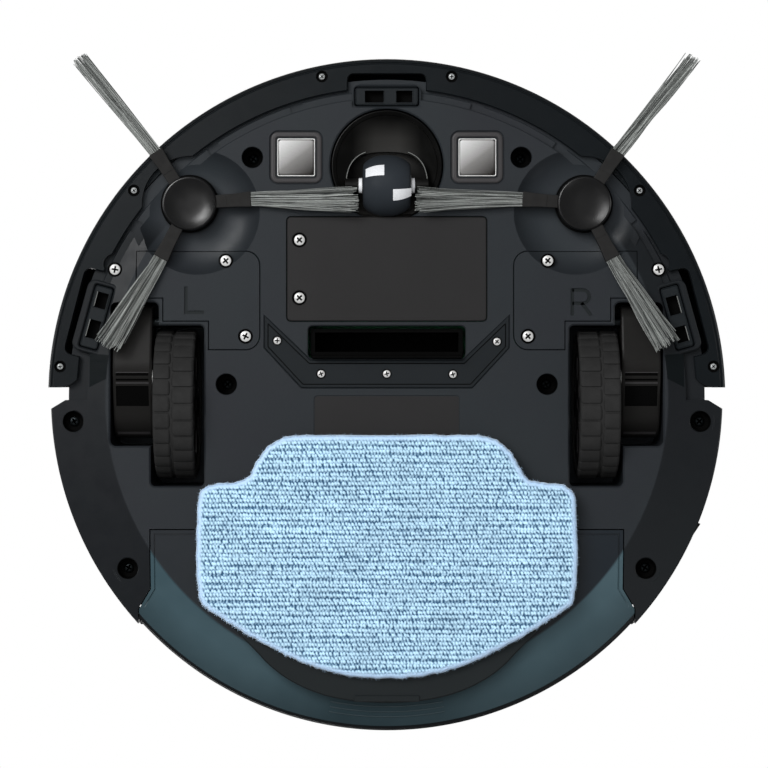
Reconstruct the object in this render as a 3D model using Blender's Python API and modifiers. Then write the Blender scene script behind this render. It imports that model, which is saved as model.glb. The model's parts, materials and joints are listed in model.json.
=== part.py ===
"""Round robot vacuum with a rear water tank and mop, standing on its wheels.

Units are metres. +Z is up, +Y is the driving direction, and the origin is on the floor under the
middle of the body. "left" is the side moulded with an L on the underside, which is at +X.
"""

import math

import bmesh
import bpy
from mathutils import Matrix, Vector

# ---- driving dimensions ----
BODY_R = 0.148            # rear half of the side wall
BUMPER_R = 0.150
BASE_Z = 0.014            # ground clearance under the flat belly
FLAT_R = 0.122            # the belly is flat inside this radius and conical outside it
RIM_R = 0.1465
RIM_Z = 0.021             # height of the cone's outer edge
SKIN = 0.0024             # plastic wall of the base
BASE_TOP = 0.030          # seam between base and upper shell
SHELL_Z = 0.0304
DECK_Z = 0.0692
TOP_Z = 0.078
GAP = 0.0003              # gap between pieces that touch
WHEEL_R = 0.0325
WHEEL_X = 0.092
WHEEL_W = 0.0175
WHEEL_Y = -0.003
ARM_PIVOT = (0.033, 0.025)      # y, z of the suspension pivot
BRUSH = (0.0854, 0.0841)        # x, y of a side brush's spindle
BOWL = (0.0822, 0.0805)         # x, y of the hollow that a side brush turns in
BOWL_R = 0.0269
CASTER = (0.0, 0.1009)          # swivel axis
CASTER_WHEEL_R = 0.0132
CASTER_WHEEL_W = 0.0207
CASTER_WHEEL_Y = 0.092
NOTCH_Y = -0.001                # front edge of the rear body where the bumper ends
BUMPER_END_Y = 0.0045
TANK_FRONT_Y = -0.0574
TANK_R = 0.1452
TANK_TOP = 0.056

ROUND = 64                # segments round the body
SIDES = (("left", 1), ("right", -1))
ALONG_X = Matrix(((0, 0, 1, 0), (1, 0, 0, 0), (0, 1, 0, 0), (0, 0, 0, 1)))   # local x, y, z to y, z, x
ALONG_Y = Matrix(((1, 0, 0, 0), (0, 0, 1, 0), (0, -1, 0, 0), (0, 0, 0, 1)))  # local x, y, z to x, -z, y

for old in list(bpy.data.objects):
    bpy.data.objects.remove(old)
ROBOT = bpy.data.collections.new("robot_vacuum")
bpy.context.scene.collection.children.link(ROBOT)


# ---- materials ----
def plastic(name, colour, roughness=0.5, metallic=0.0, alpha=1.0):
    made = bpy.data.materials.new(name)
    made.use_nodes = True
    made.diffuse_color = (*colour, alpha)
    shader = made.node_tree.nodes["Principled BSDF"]
    shader.inputs["Base Color"].default_value = (*colour, 1)
    shader.inputs["Roughness"].default_value = roughness
    shader.inputs["Metallic"].default_value = metallic
    shader.inputs["Alpha"].default_value = alpha
    return made


CHASSIS = plastic("chassis", (0.022, 0.026, 0.030), 0.5)
COVER = plastic("cover", (0.030, 0.030, 0.032), 0.55)
BUMPER = plastic("bumper", (0.013, 0.016, 0.019), 0.4)
GLOSS = plastic("gloss_top", (0.012, 0.013, 0.015), 0.12)
BLACK = plastic("black_inner", (0.006, 0.006, 0.006), 0.6)
TYRE = plastic("tyre", (0.028, 0.028, 0.028), 0.85)
RUBBER = plastic("rubber", (0.018, 0.018, 0.018), 0.7)
BRISTLE = plastic("bristle", (0.17, 0.18, 0.17), 0.6)
STEEL = plastic("steel", (0.62, 0.62, 0.60), 0.3, 1.0)
WHITE = plastic("white_plastic", (0.80, 0.80, 0.80), 0.4)
TANK = plastic("tank_smoke", (0.030, 0.050, 0.055), 0.1, 0.0, 0.6)
CLOTH = plastic("mop_cloth", (0.35, 0.60, 0.86), 0.95)
BOARD = plastic("circuit_board", (0.02, 0.16, 0.07), 0.4)
BATTERY = plastic("battery_wrap", (0.04, 0.16, 0.42), 0.35)
FILTER = plastic("filter_paper", (0.78, 0.76, 0.70), 0.9)
GEAR = plastic("gear_plastic", (0.75, 0.74, 0.68), 0.45)


# ---- outlines: lists of 2D points, anticlockwise ----
def arc(cx, cy, radius, start, end, steps):
    """Points on a circle from angle start to angle end, in degrees."""
    turn = [math.radians(start + (end - start) * i / steps) for i in range(steps + 1)]
    return [(cx + radius * math.cos(a), cy + radius * math.sin(a)) for a in turn]


def rounded(corners, radii, steps=4):
    """The polygon with each corner replaced by an arc. radii is one radius or one for each corner."""
    count = len(corners)
    radii = radii if hasattr(radii, "__len__") else [radii] * count
    points = []
    for i, radius in enumerate(radii):
        at = Vector(corners[i])
        if radius <= 0:
            points.append(tuple(at))
            continue
        before = (Vector(corners[i - 1]) - at).normalized()
        after = (Vector(corners[(i + 1) % count]) - at).normalized()
        half = before.angle(after) / 2
        centre = at + (before + after).normalized() * (radius / math.sin(half))
        first = at + before * (radius / math.tan(half)) - centre
        last = at + after * (radius / math.tan(half)) - centre
        swing = math.atan2(first.cross(last), first.dot(last))
        for k in range(steps + 1):
            points.append(tuple(centre + Matrix.Rotation(swing * k / steps, 2) @ first))
    return points


def rectangle(x0, y0, x1, y1, radius=0.0, steps=3):
    corners = [(x0, y0), (x1, y0), (x1, y1), (x0, y1)]
    return rounded(corners, radius, steps) if radius else corners


def circle(cx, cy, radius, steps=32):
    return arc(cx, cy, radius, 0, 360, steps)[:-1]


def flipped(points, side):
    """The outline on the other side of the body where side is -1."""
    return points if side > 0 else [(-x, y) for x, y in reversed(points)]


def hull(points):
    """Convex hull, anticlockwise."""
    ordered = sorted(set(points))

    def chain(run):
        kept = []
        for p in run:
            while len(kept) > 1 and (
                (kept[-1][0] - kept[-2][0]) * (p[1] - kept[-2][1])
                - (kept[-1][1] - kept[-2][1]) * (p[0] - kept[-2][0])
            ) <= 0:
                kept.pop()
            kept.append(p)
        return kept[:-1]

    return chain(ordered) + chain(reversed(ordered))


def gear_outline(teeth, module, phase=0.0):
    """Straight-flanked teeth, slim enough to run with backlash. phase is in tooth pitches."""
    pitch_r = teeth * module / 2
    pitch = 2 * math.pi / teeth
    tooth = ((pitch_r - 1.2 * module, -0.30), (pitch_r + 0.85 * module, -0.10),
             (pitch_r + 0.85 * module, 0.10), (pitch_r - 1.2 * module, 0.30))
    points = []
    for i in range(teeth):
        for radius, share in tooth:
            angle = (i + phase + share) * pitch
            points.append((radius * math.cos(angle), radius * math.sin(angle)))
    return points


# ---- solids ----
def add(name, mesh, material=None):
    obj = bpy.data.objects.new(name, mesh)
    ROBOT.objects.link(obj)
    if material:
        mesh.materials.clear()
        mesh.materials.append(material)
    return obj


def evaluated_mesh(obj):
    bpy.context.view_layer.update()
    graph = bpy.context.evaluated_depsgraph_get()
    mesh = bpy.data.meshes.new_from_object(obj.evaluated_get(graph))
    mesh.transform(obj.matrix_world)
    return mesh


def prism(name, outline, low, high, material=None, axis=None):
    """The outline extruded from low to high along Z, or along X or Y with axis ALONG_X or ALONG_Y."""
    curve = bpy.data.curves.new(name, "CURVE")
    curve.dimensions = "2D"
    curve.fill_mode = "BOTH"
    curve.extrude = (high - low) / 2
    spline = curve.splines.new("POLY")
    spline.points.add(len(outline) - 1)
    for point, (x, y) in zip(spline.points, outline):
        point.co = (x, y, 0, 1)
    spline.use_cyclic_u = True
    guide = bpy.data.objects.new(name, curve)
    guide.location.z = (high + low) / 2
    ROBOT.objects.link(guide)
    mesh = evaluated_mesh(guide)
    bpy.data.objects.remove(guide)
    work = bmesh.new()
    work.from_mesh(mesh)
    bmesh.ops.remove_doubles(work, verts=work.verts, dist=0.00001)
    bmesh.ops.recalc_face_normals(work, faces=work.faces)
    work.to_mesh(mesh)
    work.free()
    if axis:
        mesh.transform(axis)
    return add(name, mesh, material)


def turned(name, profile, material=None, centre=(0, 0), steps=ROUND, axis=None, at=(0, 0, 0)):
    """A profile of (radius, height) points turned round Z, or round X or Y with axis."""
    closed = profile[0][0] > 0 or profile[-1][0] > 0
    area = sum(a[0] * b[1] - b[0] * a[1] for a, b in zip(profile, profile[1:] + profile[:1]))
    points = list(profile) if area < 0 else list(reversed(profile))
    edges = [(i, i + 1) for i in range(len(points) - 1)]
    if closed:
        edges.append((len(points) - 1, 0))
    mesh = bpy.data.meshes.new(name)
    mesh.from_pydata([(r, 0, z) for r, z in points], edges, [])
    guide = bpy.data.objects.new(name, mesh)
    ROBOT.objects.link(guide)
    screw = guide.modifiers.new("turn", "SCREW")
    screw.steps = screw.render_steps = steps
    screw.use_merge_vertices = True
    screw.merge_threshold = 0.00001
    solid = evaluated_mesh(guide)
    bpy.data.objects.remove(guide)
    if axis:
        solid.transform(axis)
    solid.transform(Matrix.Translation((centre[0] + at[0], centre[1] + at[1], at[2])))
    return add(name, solid, material)


def box(name, low, high, material=None):
    bm = bmesh.new()
    bmesh.ops.create_cube(bm, size=1)
    size = [h - l for l, h in zip(low, high)]
    middle = [(h + l) / 2 for l, h in zip(low, high)]
    bmesh.ops.scale(bm, vec=size, verts=bm.verts)
    bmesh.ops.translate(bm, vec=middle, verts=bm.verts)
    mesh = bpy.data.meshes.new(name)
    bm.to_mesh(mesh)
    bm.free()
    return add(name, mesh, material)


def rod(name, radius, low, high, material=None, axis=None, at=(0, 0, 0), steps=24):
    """A cylinder along Z, X or Y from low to high; at gives its other two coordinates."""
    profile = [(0, high), (radius, high), (radius, low), (0, low)]
    return turned(name, profile, material, steps=steps, axis=axis, at=at)


def merge_flat_faces(mesh):
    """Joins neighbouring faces that lie in one plane, which Booleans leave split."""
    work = bmesh.new()
    work.from_mesh(mesh)
    bmesh.ops.remove_doubles(work, verts=work.verts, dist=0.000002)
    bmesh.ops.dissolve_limit(work, angle_limit=math.radians(0.05), verts=work.verts,
                             edges=work.edges)
    work.to_mesh(mesh)
    work.free()


def boolean(obj, others, operation):
    """obj with the others cut away, joined on or intersected. The others are used up."""
    for other in others:
        step = obj.modifiers.new(operation, "BOOLEAN")
        step.operation = operation
        step.object = other
        material = obj.data.materials[0] if obj.data.materials else None
        mesh = evaluated_mesh(obj)
        merge_flat_faces(mesh)
        obj.modifiers.clear()
        obj.data = mesh
        mesh.materials.clear()
        if material:
            mesh.materials.append(material)
        bpy.data.objects.remove(other)
    return obj


def cut(obj, *cutters):
    return boolean(obj, cutters, "DIFFERENCE")


def fuse(obj, *others):
    return boolean(obj, others, "UNION")


def keep(obj, region):
    return boolean(obj, (region,), "INTERSECT")


def copy_of(obj, name):
    return add(name, obj.data.copy())


def pivot(obj, point, parent=None):
    """Puts the object's origin at a point on its joint's axis, and parents it."""
    obj.data.transform(Matrix.Translation(-Vector(point)))
    obj.location = point
    if parent:
        bpy.context.view_layer.update()
        obj.parent = parent
        obj.matrix_parent_inverse = parent.matrix_world.inverted()
    return obj


def empty(name, point):
    guide = bpy.data.objects.new(name, None)
    guide.empty_display_size = 0.01
    guide.location = point
    ROBOT.objects.link(guide)
    bpy.context.view_layer.update()
    return guide


# ---- outlines that more than one piece follows ----
def front_region():
    """Everything forward of the rear body's shoulders, which slope back outside the bumper's end."""
    corners = [(-0.165, -0.0158), (-0.140, NOTCH_Y), (0.140, NOTCH_Y), (0.165, -0.0158),
               (0.165, 0.165), (-0.165, 0.165)]
    return prism("front_region", corners, -0.01, 0.1)


def rear_region():
    """Everything behind the rear body's shoulder walls."""
    corners = [(-0.165, -0.165), (0.165, -0.165), (0.165, -0.022), (0.140, -0.005),
               (-0.140, -0.005), (-0.165, -0.022)]
    return prism("rear_region", corners, -0.01, 0.1)


def tank_outline(grow=0.0):
    """The tank in plan, wider behind the slanted shoulders, and open-ended past the rim."""
    side, flare = 0.1025 + grow, 0.1079 + grow
    front = TANK_FRONT_Y + grow
    half = [(side, front), (side, -0.0831), (flare, -0.092), (flare, -0.17)]
    return [(-x, y) for x, y in half] + [(x, y) for x, y in reversed(half)]


def side_cover_outline(side, grow=0.0):
    """The plate beside a wheel well, with its two round corners towards the middle."""
    corners = [(0.0552 - grow, 0.0210 - grow), (0.0772 + grow, 0.0210 - grow),
               (0.0772 + grow, 0.0334 - grow), (0.0970 + grow, 0.0334 - grow),
               (0.0970 + grow, 0.0434 - grow), (0.1085 + grow, 0.0434 - grow),
               (0.1085 + grow, 0.0635 + grow), (0.0552 - grow, 0.0635 + grow)]
    return flipped(rounded(corners, [0.006, 0, 0, 0, 0, 0, 0, 0.006]), side)


def battery_outline(grow=0.0):
    return rectangle(-0.0433 - grow, 0.0333 - grow, 0.0433 + grow, 0.0785 + grow, 0.0018)


def inlet_frame_outline(grow=0.0):
    """The boat-shaped clamp plate behind the suction mouth."""
    wide, low = 0.053 + grow, 0.0044 - grow
    return [(-0.037 - grow / 2, low), (0.037 + grow / 2, low), (wide, 0.0216), (wide, 0.0357 + grow),
            (0.033, 0.0164 + grow), (-0.033, 0.0164 + grow), (-wide, 0.0357 + grow), (-wide, 0.0216)]


def sensor_outline(grow=0.0):
    return rectangle(-0.0137 - grow, -0.0040 - grow, 0.0137 + grow, 0.0038 + grow, 0.0012)


SENSOR_R = 0.131          # distance of each cliff sensor from the middle
SENSOR_TURNS = (("front", 0.0), ("left", -74.5), ("right", 74.5))
SCREW_TOWERS = ((0.0583, 0.1043), (0.0696, 0.0059), (0.1366, -0.0103), (0.1128, -0.0743))
CONTACT = (0.0393, 0.1043)
BATTERY_SCREWS_Y = (0.0686, 0.0434)
ARM_CIRCLES = ((WHEEL_Y, WHEEL_R, 0.0145), (0.013, 0.0295, 0.016), (*ARM_PIVOT, 0.007))
MODULE_SLOT = (0.0989, -0.021, 0.1200, 0.0415)      # x, y, x, y of the gearbox's opening
WHEEL_SLOT = (0.0792, -0.0385, 0.1025, 0.0315)      # x, y, x, y of the wheel's opening
WELL_WALL = 0.0016
WHEEL_WELL_TOP, MODULE_WELL_TOP = 0.068, 0.062


def turned_about_middle(obj, degrees):
    obj.data.transform(Matrix.Rotation(math.radians(degrees), 4, "Z"))
    return obj


# ---- base plate ----
def well_box(name, slot, side, low, high, wall):
    x0, y0, x1, y1 = slot
    ends = sorted((side * (x0 - wall), side * (x1 + wall)))
    return box(name, (ends[0], y0 - wall, low), (ends[1], y1 + wall, high))


def base_plate():
    inner = BASE_Z + SKIN
    ledge = 0.0214
    blank = turned("base_plate", [
        (0, inner), (0.1265, inner), (0.1265, ledge), (0.136, ledge), (0.136, BASE_TOP),
        (RIM_R, BASE_TOP), (RIM_R, RIM_Z), (FLAT_R, BASE_Z), (0, BASE_Z)], CHASSIS)
    for name, side in SIDES:
        fuse(blank,
             rod("bowl_back", 0.0295, 0.0152, 0.0226, at=(side * BOWL[0], BOWL[1], 0), steps=32),
             well_box("wheel_box", WHEEL_SLOT, side, 0.0152, WHEEL_WELL_TOP + WELL_WALL, WELL_WALL),
             well_box("module_box", MODULE_SLOT, side, 0.0153, MODULE_WELL_TOP + WELL_WALL,
                      WELL_WALL))
        for x, y in SCREW_TOWERS:
            fuse(blank, rod("tower", 0.0066, 0.0156, 0.0285, at=(side * x, y, 0), steps=16))
    fuse(blank, rod("caster_cup", 0.0266, 0.0151, 0.042, at=(*CASTER, 0), steps=32))
    channel = turned("channel", [(0.130, 0.005), (0.165, 0.005), (0.165, 0.040), (0.1385, 0.040),
                                 (0.1385, 0.0196), (0.130, 0.0196)])
    hollow = turned("rear_hollow", [(0.131, 0.0224), (0.1441, 0.0224), (0.1441, 0.035),
                                    (0.131, 0.035)])
    cut(blank, keep(channel, front_region()), keep(hollow, rear_region()),
        prism("tank_bay", tank_outline(0.0005), 0.0, 0.06))
    for name, side in SIDES:
        for x, y in SCREW_TOWERS[2:]:
            fuse(blank, rod("tower", 0.0066, 0.0205, 0.0285, at=(side * x, y, 0), steps=16))
    return cut_base_openings(blank)


def cut_base_openings(base):
    bowl = [(0, 0.005), (BOWL_R, 0.005), (BOWL_R, BASE_Z), (0.0250, 0.0162), (0.0200, 0.0185),
            (0.0120, 0.0195), (0, 0.0195)]
    for name, side in SIDES:
        cut(base,
            turned("bowl", bowl, centre=(side * BOWL[0], BOWL[1]), steps=36),
            rod("spindle_hole", 0.0062, 0.01, 0.03, at=(side * BRUSH[0], BRUSH[1], 0)),
            well_box("wheel_slot", WHEEL_SLOT, side, 0.0, WHEEL_WELL_TOP, 0),
            well_box("module_slot", MODULE_SLOT, side, 0.0, MODULE_WELL_TOP, 0),
            prism("contact_frame", rectangle(*contact_corners(side, 0.0114), 0.0035), 0.005, 0.0148),
            prism("contact_hole", rectangle(*contact_corners(side, 0.0083)), 0.005, 0.03))
        for x, y in SCREW_TOWERS:
            cut(base, rod("screw_hole", 0.0045, 0.0, 0.0255, at=(side * x, y, 0), steps=16))
        ends = sorted((side * 0.096, side * 0.123))
        cut(base, rod("pivot_hole", 0.0028, *ends, axis=ALONG_X, at=(0, *ARM_PIVOT), steps=16))
    for name, degrees in SENSOR_TURNS:
        hole = prism("sensor_hole", sensor_outline(0.0004), 0.0, 0.0222)
        hole.data.transform(Matrix.Translation((0, SENSOR_R, 0)))
        cut(base, turned_about_middle(hole, degrees))
    cut(base,
        rod("caster_well", 0.0246, 0.0, 0.040, at=(*CASTER, 0), steps=36),
        rod("caster_bore", 0.0044, 0.03, 0.05, at=(*CASTER, 0)),
        prism("mouth", rectangle(-0.0342, 0.0170, 0.0342, 0.0312, 0.0015), 0.0, 0.03),
        prism("frame_pocket", inlet_frame_outline(GAP), 0.0, 0.0157),
        prism("label_pocket", rectangle(-0.0315, -0.030, 0.0315, 0.0009, 0.0015), 0.0, 0.0143))
    return base


def contact_corners(side, half):
    x, y = side * CONTACT[0], CONTACT[1]
    return x - half, y - half, x + half, y + half


def covers_from(base):
    """The battery cover and the two side covers are cut out of the base's own skin."""
    made = []
    plans = [("battery_cover", battery_outline, COVER, 0.0165)]
    for name, side in SIDES:
        plans.append((f"side_cover_{name}",
                      lambda grow=0.0, s=side: side_cover_outline(s, grow), CHASSIS, 0.0226))
    for name, outline, material, high in plans:
        cover = copy_of(base, name)
        keep(cover, prism("cover_region", outline(), 0.0, high + 0.001))
        cover.data.materials.clear()
        cover.data.materials.append(material)
        cut(base, prism("cover_hole", outline(GAP), 0.0, high + 0.002))
        made.append(cover)
    for y in BATTERY_SCREWS_Y:
        cut(made[0],
            rod("counterbore", 0.0030, 0.01, 0.0159, at=(0.038, y, 0), steps=16),
            rod("shank_hole", 0.0017, 0.01, 0.02, at=(0.038, y, 0), steps=12))
    return made


# ---- upper shell, top cover and what is fixed inside ----
SWITCH_ANGLE = 205.0      # degrees from +X, on the right rear of the side wall


def upper_shell():
    shell = turned("upper_shell", [
        (0.1355, SHELL_Z), (0.1355, 0.0668), (0.118, 0.0668), (0.118, DECK_Z), (0.140, DECK_Z),
        (0.140, 0.0662), (0.1462, 0.0625), (0.1475, 0.0580), (BODY_R, 0.0470), (0.1466, SHELL_Z)],
        CHASSIS)
    channel = turned("channel", [(0.1385, 0.02), (0.165, 0.02), (0.165, 0.0664), (0.1385, 0.0664)])
    hollow = turned("rear_hollow", [(0.131, 0.025), (0.1442, 0.025), (0.1456, 0.0400),
                                    (0.1456, 0.0640), (0.131, 0.0640)])
    cut(shell, keep(channel, front_region()), keep(hollow, rear_region()),
        prism("tank_bay", tank_outline(0.0005), 0.0, 0.0568))
    switch_hole = box("switch_hole", (0.13, -0.0085, 0.036), (0.16, 0.0085, 0.047))
    cut(shell, turned_about_middle(switch_hole, SWITCH_ANGLE))
    for i in range(6):
        slot = box("vent", (0.13, -0.0016, 0.036), (0.16, 0.0016, 0.052))
        cut(shell, turned_about_middle(slot, -20 - 3.0 * i))
    return shell


def top_cover():
    cover = turned("top_cover", [
        (0, TOP_Z), (0.104, TOP_Z), (0.124, 0.0769), (0.1345, 0.0752), (0.1385, 0.0732),
        (0.1396, 0.0712), (0.1396, 0.0695), (0.1370, 0.0695), (0.122, 0.0744),
        (0, 0.0757)], GLOSS)
    return cut(cover, rod("button_hole", 0.0142, 0.06, 0.09, at=(0, 0.045, 0), steps=32))


def start_button():
    button = turned("start_button", [
        (0, 0.0783), (0.009, 0.0782), (0.0128, 0.0779), (0.0138, 0.0772), (0.0138, 0.0742),
        (0.0030, 0.0742), (0.0030, 0.0700), (0, 0.0700)], COVER, centre=(0, 0.045), steps=28)
    return pivot(button, (0, 0.045, 0.0742))


def power_switch():
    """A rocker that turns about an upright pin in the side wall."""
    outline = [(0.1465, -0.0080), (0.1490, -0.0080), (0.1478, 0), (0.1478, 0.0001),
               (0.1476, 0.0080), (0.1450, 0.0080), (0.1425, 0.0030), (0.1425, -0.0030)]
    rocker = prism("power_switch", outline, 0.0365, 0.0465, RUBBER)
    turned_about_middle(rocker, SWITCH_ANGLE)
    angle = math.radians(SWITCH_ANGLE)
    return pivot(rocker, (0.1455 * math.cos(angle), 0.1455 * math.sin(angle), 0.0415))


def battery():
    pack = prism("battery_pack", rectangle(-0.0355, 0.0353, 0.0355, 0.0725, 0.004), 0.0180, 0.0545,
                 BATTERY)
    return pack


def battery_screws():
    for i, y in enumerate(BATTERY_SCREWS_Y, 1):
        turned(f"battery_screw_{i}", [
            (0, 0.0178), (0.0013, 0.0178), (0.0013, 0.0156), (0.0023, 0.0153), (0.0023, 0.0144),
            (0, 0.0144)], STEEL, centre=(0.038, y), steps=14)


def suction_mouth():
    frame = prism("inlet_frame", inlet_frame_outline(), 0.0141, 0.0154, CHASSIS)
    lip = prism("inlet_lip", rectangle(-0.0325, 0.0173, 0.0325, 0.0182), 0.0085, 0.0171, RUBBER)
    duct = box("suction_duct", (-0.0330, 0.0184, 0.0174), (0.0330, 0.0300, 0.0555), CHASSIS)
    fuse(duct, box("duct_back", (-0.0330, -0.0070, 0.0400), (0.0330, 0.0200, 0.0555)))
    cut(duct, box("riser", (-0.0312, 0.0200, 0.010), (0.0312, 0.0284, 0.0540)),
        box("run", (-0.0312, -0.02, 0.0416), (0.0312, 0.0284, 0.0540)))
    return frame, lip, duct


def charging_contacts():
    for name, side in SIDES:
        x, y = side * CONTACT[0], CONTACT[1]
        plate = rectangle(x - 0.0080, y - 0.0080, x + 0.0080, y + 0.0080, 0.0006, 2)
        contact = prism(f"charging_contact_{name}", plate, 0.0138, 0.0165, STEEL)
        bevel = contact.modifiers.new("edge", "BEVEL")
        bevel.width = 0.0003
        bevel.segments = 1


def cliff_sensors():
    for name, degrees in SENSOR_TURNS:
        sensor = prism(f"cliff_sensor_{name}", sensor_outline(), 0.0152, 0.0218, BLACK)
        cut(sensor,
            box("window", (-0.0106, -0.0024, 0.01), (-0.0018, 0.0022, 0.0195)),
            box("window", (0.0034, -0.0024, 0.01), (0.0108, 0.0022, 0.0195)))
        sensor.data.transform(Matrix.Translation((0, SENSOR_R, 0)))
        turned_about_middle(sensor, degrees)


def mainboard():
    return prism("mainboard", rectangle(-0.060, 0.006, 0.060, 0.095, 0.003, 3), 0.0580, 0.0596, BOARD)


def side_brush_gearmotors():
    for name, side in SIDES:
        turned(f"side_brush_gearmotor_{name}", [
            (0, 0.0560), (0.0085, 0.0560), (0.0085, 0.0360), (0.0140, 0.0360), (0.0140, 0.0235),
            (0.0055, 0.0235), (0.0055, 0.0175), (0.0019, 0.0175), (0.0019, 0.0115), (0, 0.0115)],
            STEEL, centre=(side * BRUSH[0], BRUSH[1]), steps=18)


# ---- bumper ----
def bumper():
    ring = turned("bumper", [
        (0.1345, 0.0158), (0.1435, 0.0170), (0.1464, 0.0194), (0.1478, 0.0240), (0.1494, 0.0370),
        (BUMPER_R, 0.0470), (0.1496, 0.0560), (0.1484, 0.0615), (0.1462, 0.0643),
        (0.1424, 0.0658), (0.1424, 0.0640), (0.1452, 0.0620), (0.1474, 0.0550), (0.1474, 0.0400),
        (0.1454, 0.0240), (0.1430, 0.0192), (0.1345, 0.0178)], BUMPER)
    keep(ring, box("front_half", (-0.16, BUMPER_END_Y, 0), (0.16, 0.16, 0.09)))
    cut(ring, box("front_notch", (-0.0165, 0.12, 0.01), (0.0165, 0.1392, 0.0200)))
    window = turned("window", [(0.1462, 0.034), (0.155, 0.034), (0.155, 0.052), (0.1462, 0.052)])
    wedge = [(0, 0)] + arc(0, 0, 0.17, 35, 145, 12)
    keep(window, prism("wedge", wedge, 0.0, 0.1))
    cut(ring, window)
    for name, side in SIDES:
        pocket = box("sensor_pocket", (0.1200, -0.0160, 0.01), (0.1408, 0.0205, 0.0200))
        if side < 0:
            pocket.data.transform(Matrix.Scale(-1, 4, (1, 0, 0)))
            pocket.data.flip_normals()
        turned_about_middle(pocket, side * 14.5)
        cut(ring, rod("hub_clearance", 0.021, 0.01, 0.0185, at=(side * BRUSH[0], BRUSH[1], 0),
                      steps=32), pocket)
    return pivot(ring, (0, 0, 0.04))


def bumper_window():
    """Smoked infrared window let into the front of the bumper."""
    lens = turned("bumper_window", [(0.1466, 0.0343), (0.1488, 0.0343), (0.1497, 0.0430),
                                    (0.1496, 0.0517), (0.1466, 0.0517)], GLOSS)
    wedge = [(0, 0)] + arc(0, 0, 0.17, 35.15, 144.85, 12)
    return keep(lens, prism("wedge", wedge, 0.0, 0.1))


def coil(name, radius, wire, start, end, turns, axis=None, at=(0, 0, 0), points_a_turn=12):
    """A helical spring along Z, or along X or Y with axis."""
    curve = bpy.data.curves.new(name, "CURVE")
    curve.dimensions = "3D"
    curve.bevel_depth = wire
    curve.bevel_resolution = 0
    curve.use_fill_caps = True
    spline = curve.splines.new("POLY")
    count = turns * points_a_turn + 1
    spline.points.add(count - 1)
    for i, point in enumerate(spline.points):
        angle = 2 * math.pi * i / points_a_turn
        height = start + (end - start) * i / (count - 1)
        point.co = (radius * math.cos(angle), radius * math.sin(angle), height, 1)
    obj = bpy.data.objects.new(name, curve)
    obj.matrix_world = Matrix.Translation(at) @ (axis or Matrix.Identity(4))
    ROBOT.objects.link(obj)
    curve.materials.append(STEEL)
    return obj


def bumper_switches():
    """Micro switches on the front wall, which the bumper presses."""
    for name, side in SIDES:
        ends = sorted((side * 0.026, side * 0.034))
        body = box(f"bumper_switch_{name}", (ends[0], 0.1364, 0.0460), (ends[1], 0.1388, 0.0540),
                   BLACK)
        fuse(body, rod("plunger", 0.0010, 0.138, 0.1398, axis=ALONG_Y, at=(side * 0.030, 0, 0.050),
                       steps=12))


# ---- caster ----
def caster():
    housing = turned("caster_housing", [
        (0, 0.0250), (0.006, 0.0247), (0.012, 0.0232), (0.018, 0.0197), (0.0215, 0.0160),
        (0.0226, 0.0146), (0.0240, 0.0146), (0.0240, 0.0340), (0.0210, 0.0380), (0.0039, 0.0380),
        (0.0039, 0.0450), (0, 0.0450)], COVER, centre=CASTER, steps=40)
    cut(housing, rod("wheel_pocket", 0.0173, 0.0, 0.0300, at=(0, 0.0899, 0), steps=24))
    for side in (1, -1):
        ends = sorted((side * 0.0124, side * 0.0190))
        fuse(housing, box("ear", (ends[0], 0.0875, 0.0098), (ends[1], 0.0965, 0.0240)))
    cut(housing, rod("axle_bore", 0.0018, -0.018, 0.018, axis=ALONG_X,
                     at=(0, CASTER_WHEEL_Y, CASTER_WHEEL_R), steps=20))
    half, r = CASTER_WHEEL_W / 2, CASTER_WHEEL_R
    wheel = turned("caster_wheel", [
        (0.0020, -half), (0.0085, -half), (0.0105, -half + 0.0012), (0.0124, -half * 0.5), (r, 0),
        (0.0124, half * 0.5), (0.0105, half - 0.0012), (0.0085, half), (0.0020, half)], BLACK,
        steps=32, axis=ALONG_X, at=(0, CASTER_WHEEL_Y, r))
    axle = turned("caster_axle", [
        (0, -0.0176), (0.0015, -0.0176), (0.0015, -0.0119), (0.0030, -0.0119), (0.0030, -0.0107),
        (0.0015, -0.0107), (0.0015, 0.0107), (0.0030, 0.0107), (0.0030, 0.0119), (0.0015, 0.0119),
        (0.0015, 0.0176), (0, 0.0176)], WHITE, steps=12, axis=ALONG_X, at=(0, CASTER_WHEEL_Y, r))
    swivel = empty("caster_swivel", (*CASTER, 0.03))
    pivot(housing, (*CASTER, 0.03), swivel)
    pivot(axle, (0, CASTER_WHEEL_Y, r), swivel)
    return pivot(wheel, (0, CASTER_WHEEL_Y, r), swivel)


# ---- drive modules ----
GEAR_Y, GEAR_Z = 0.012, WHEEL_R                     # compound gear's axis
PINION_TURN = math.radians(-46.4)                   # seen from the wheel's axis
PINION_Y = WHEEL_Y + 0.0175 * math.cos(PINION_TURN)
PINION_Z = WHEEL_R + 0.0175 * math.sin(PINION_TURN)
FINE, COARSE = 0.00065, 0.00075                     # gear modules of the two stages
PINION_TEETH, BIG_TEETH, SMALL_TEETH, OUTPUT_TEETH = 10, 30, 12, 28


def arm_outline(shrink=0.0):
    points = []
    for y, z, radius in ARM_CIRCLES:
        points += circle(y, z, radius - shrink, 24)
    return hull(points)


def across(name, outline, side, low, high, material=None):
    """A prism along X between two distances from the middle of the robot."""
    ends = sorted((side * low, side * high))
    return prism(name, outline, *ends, material, axis=ALONG_X)


def pin_across(name, radius, side, low, high, y, z, material=None, steps=24):
    ends = sorted((side * low, side * high))
    return rod(name, radius, *ends, material, axis=ALONG_X, at=(0, y, z), steps=steps)


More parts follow.
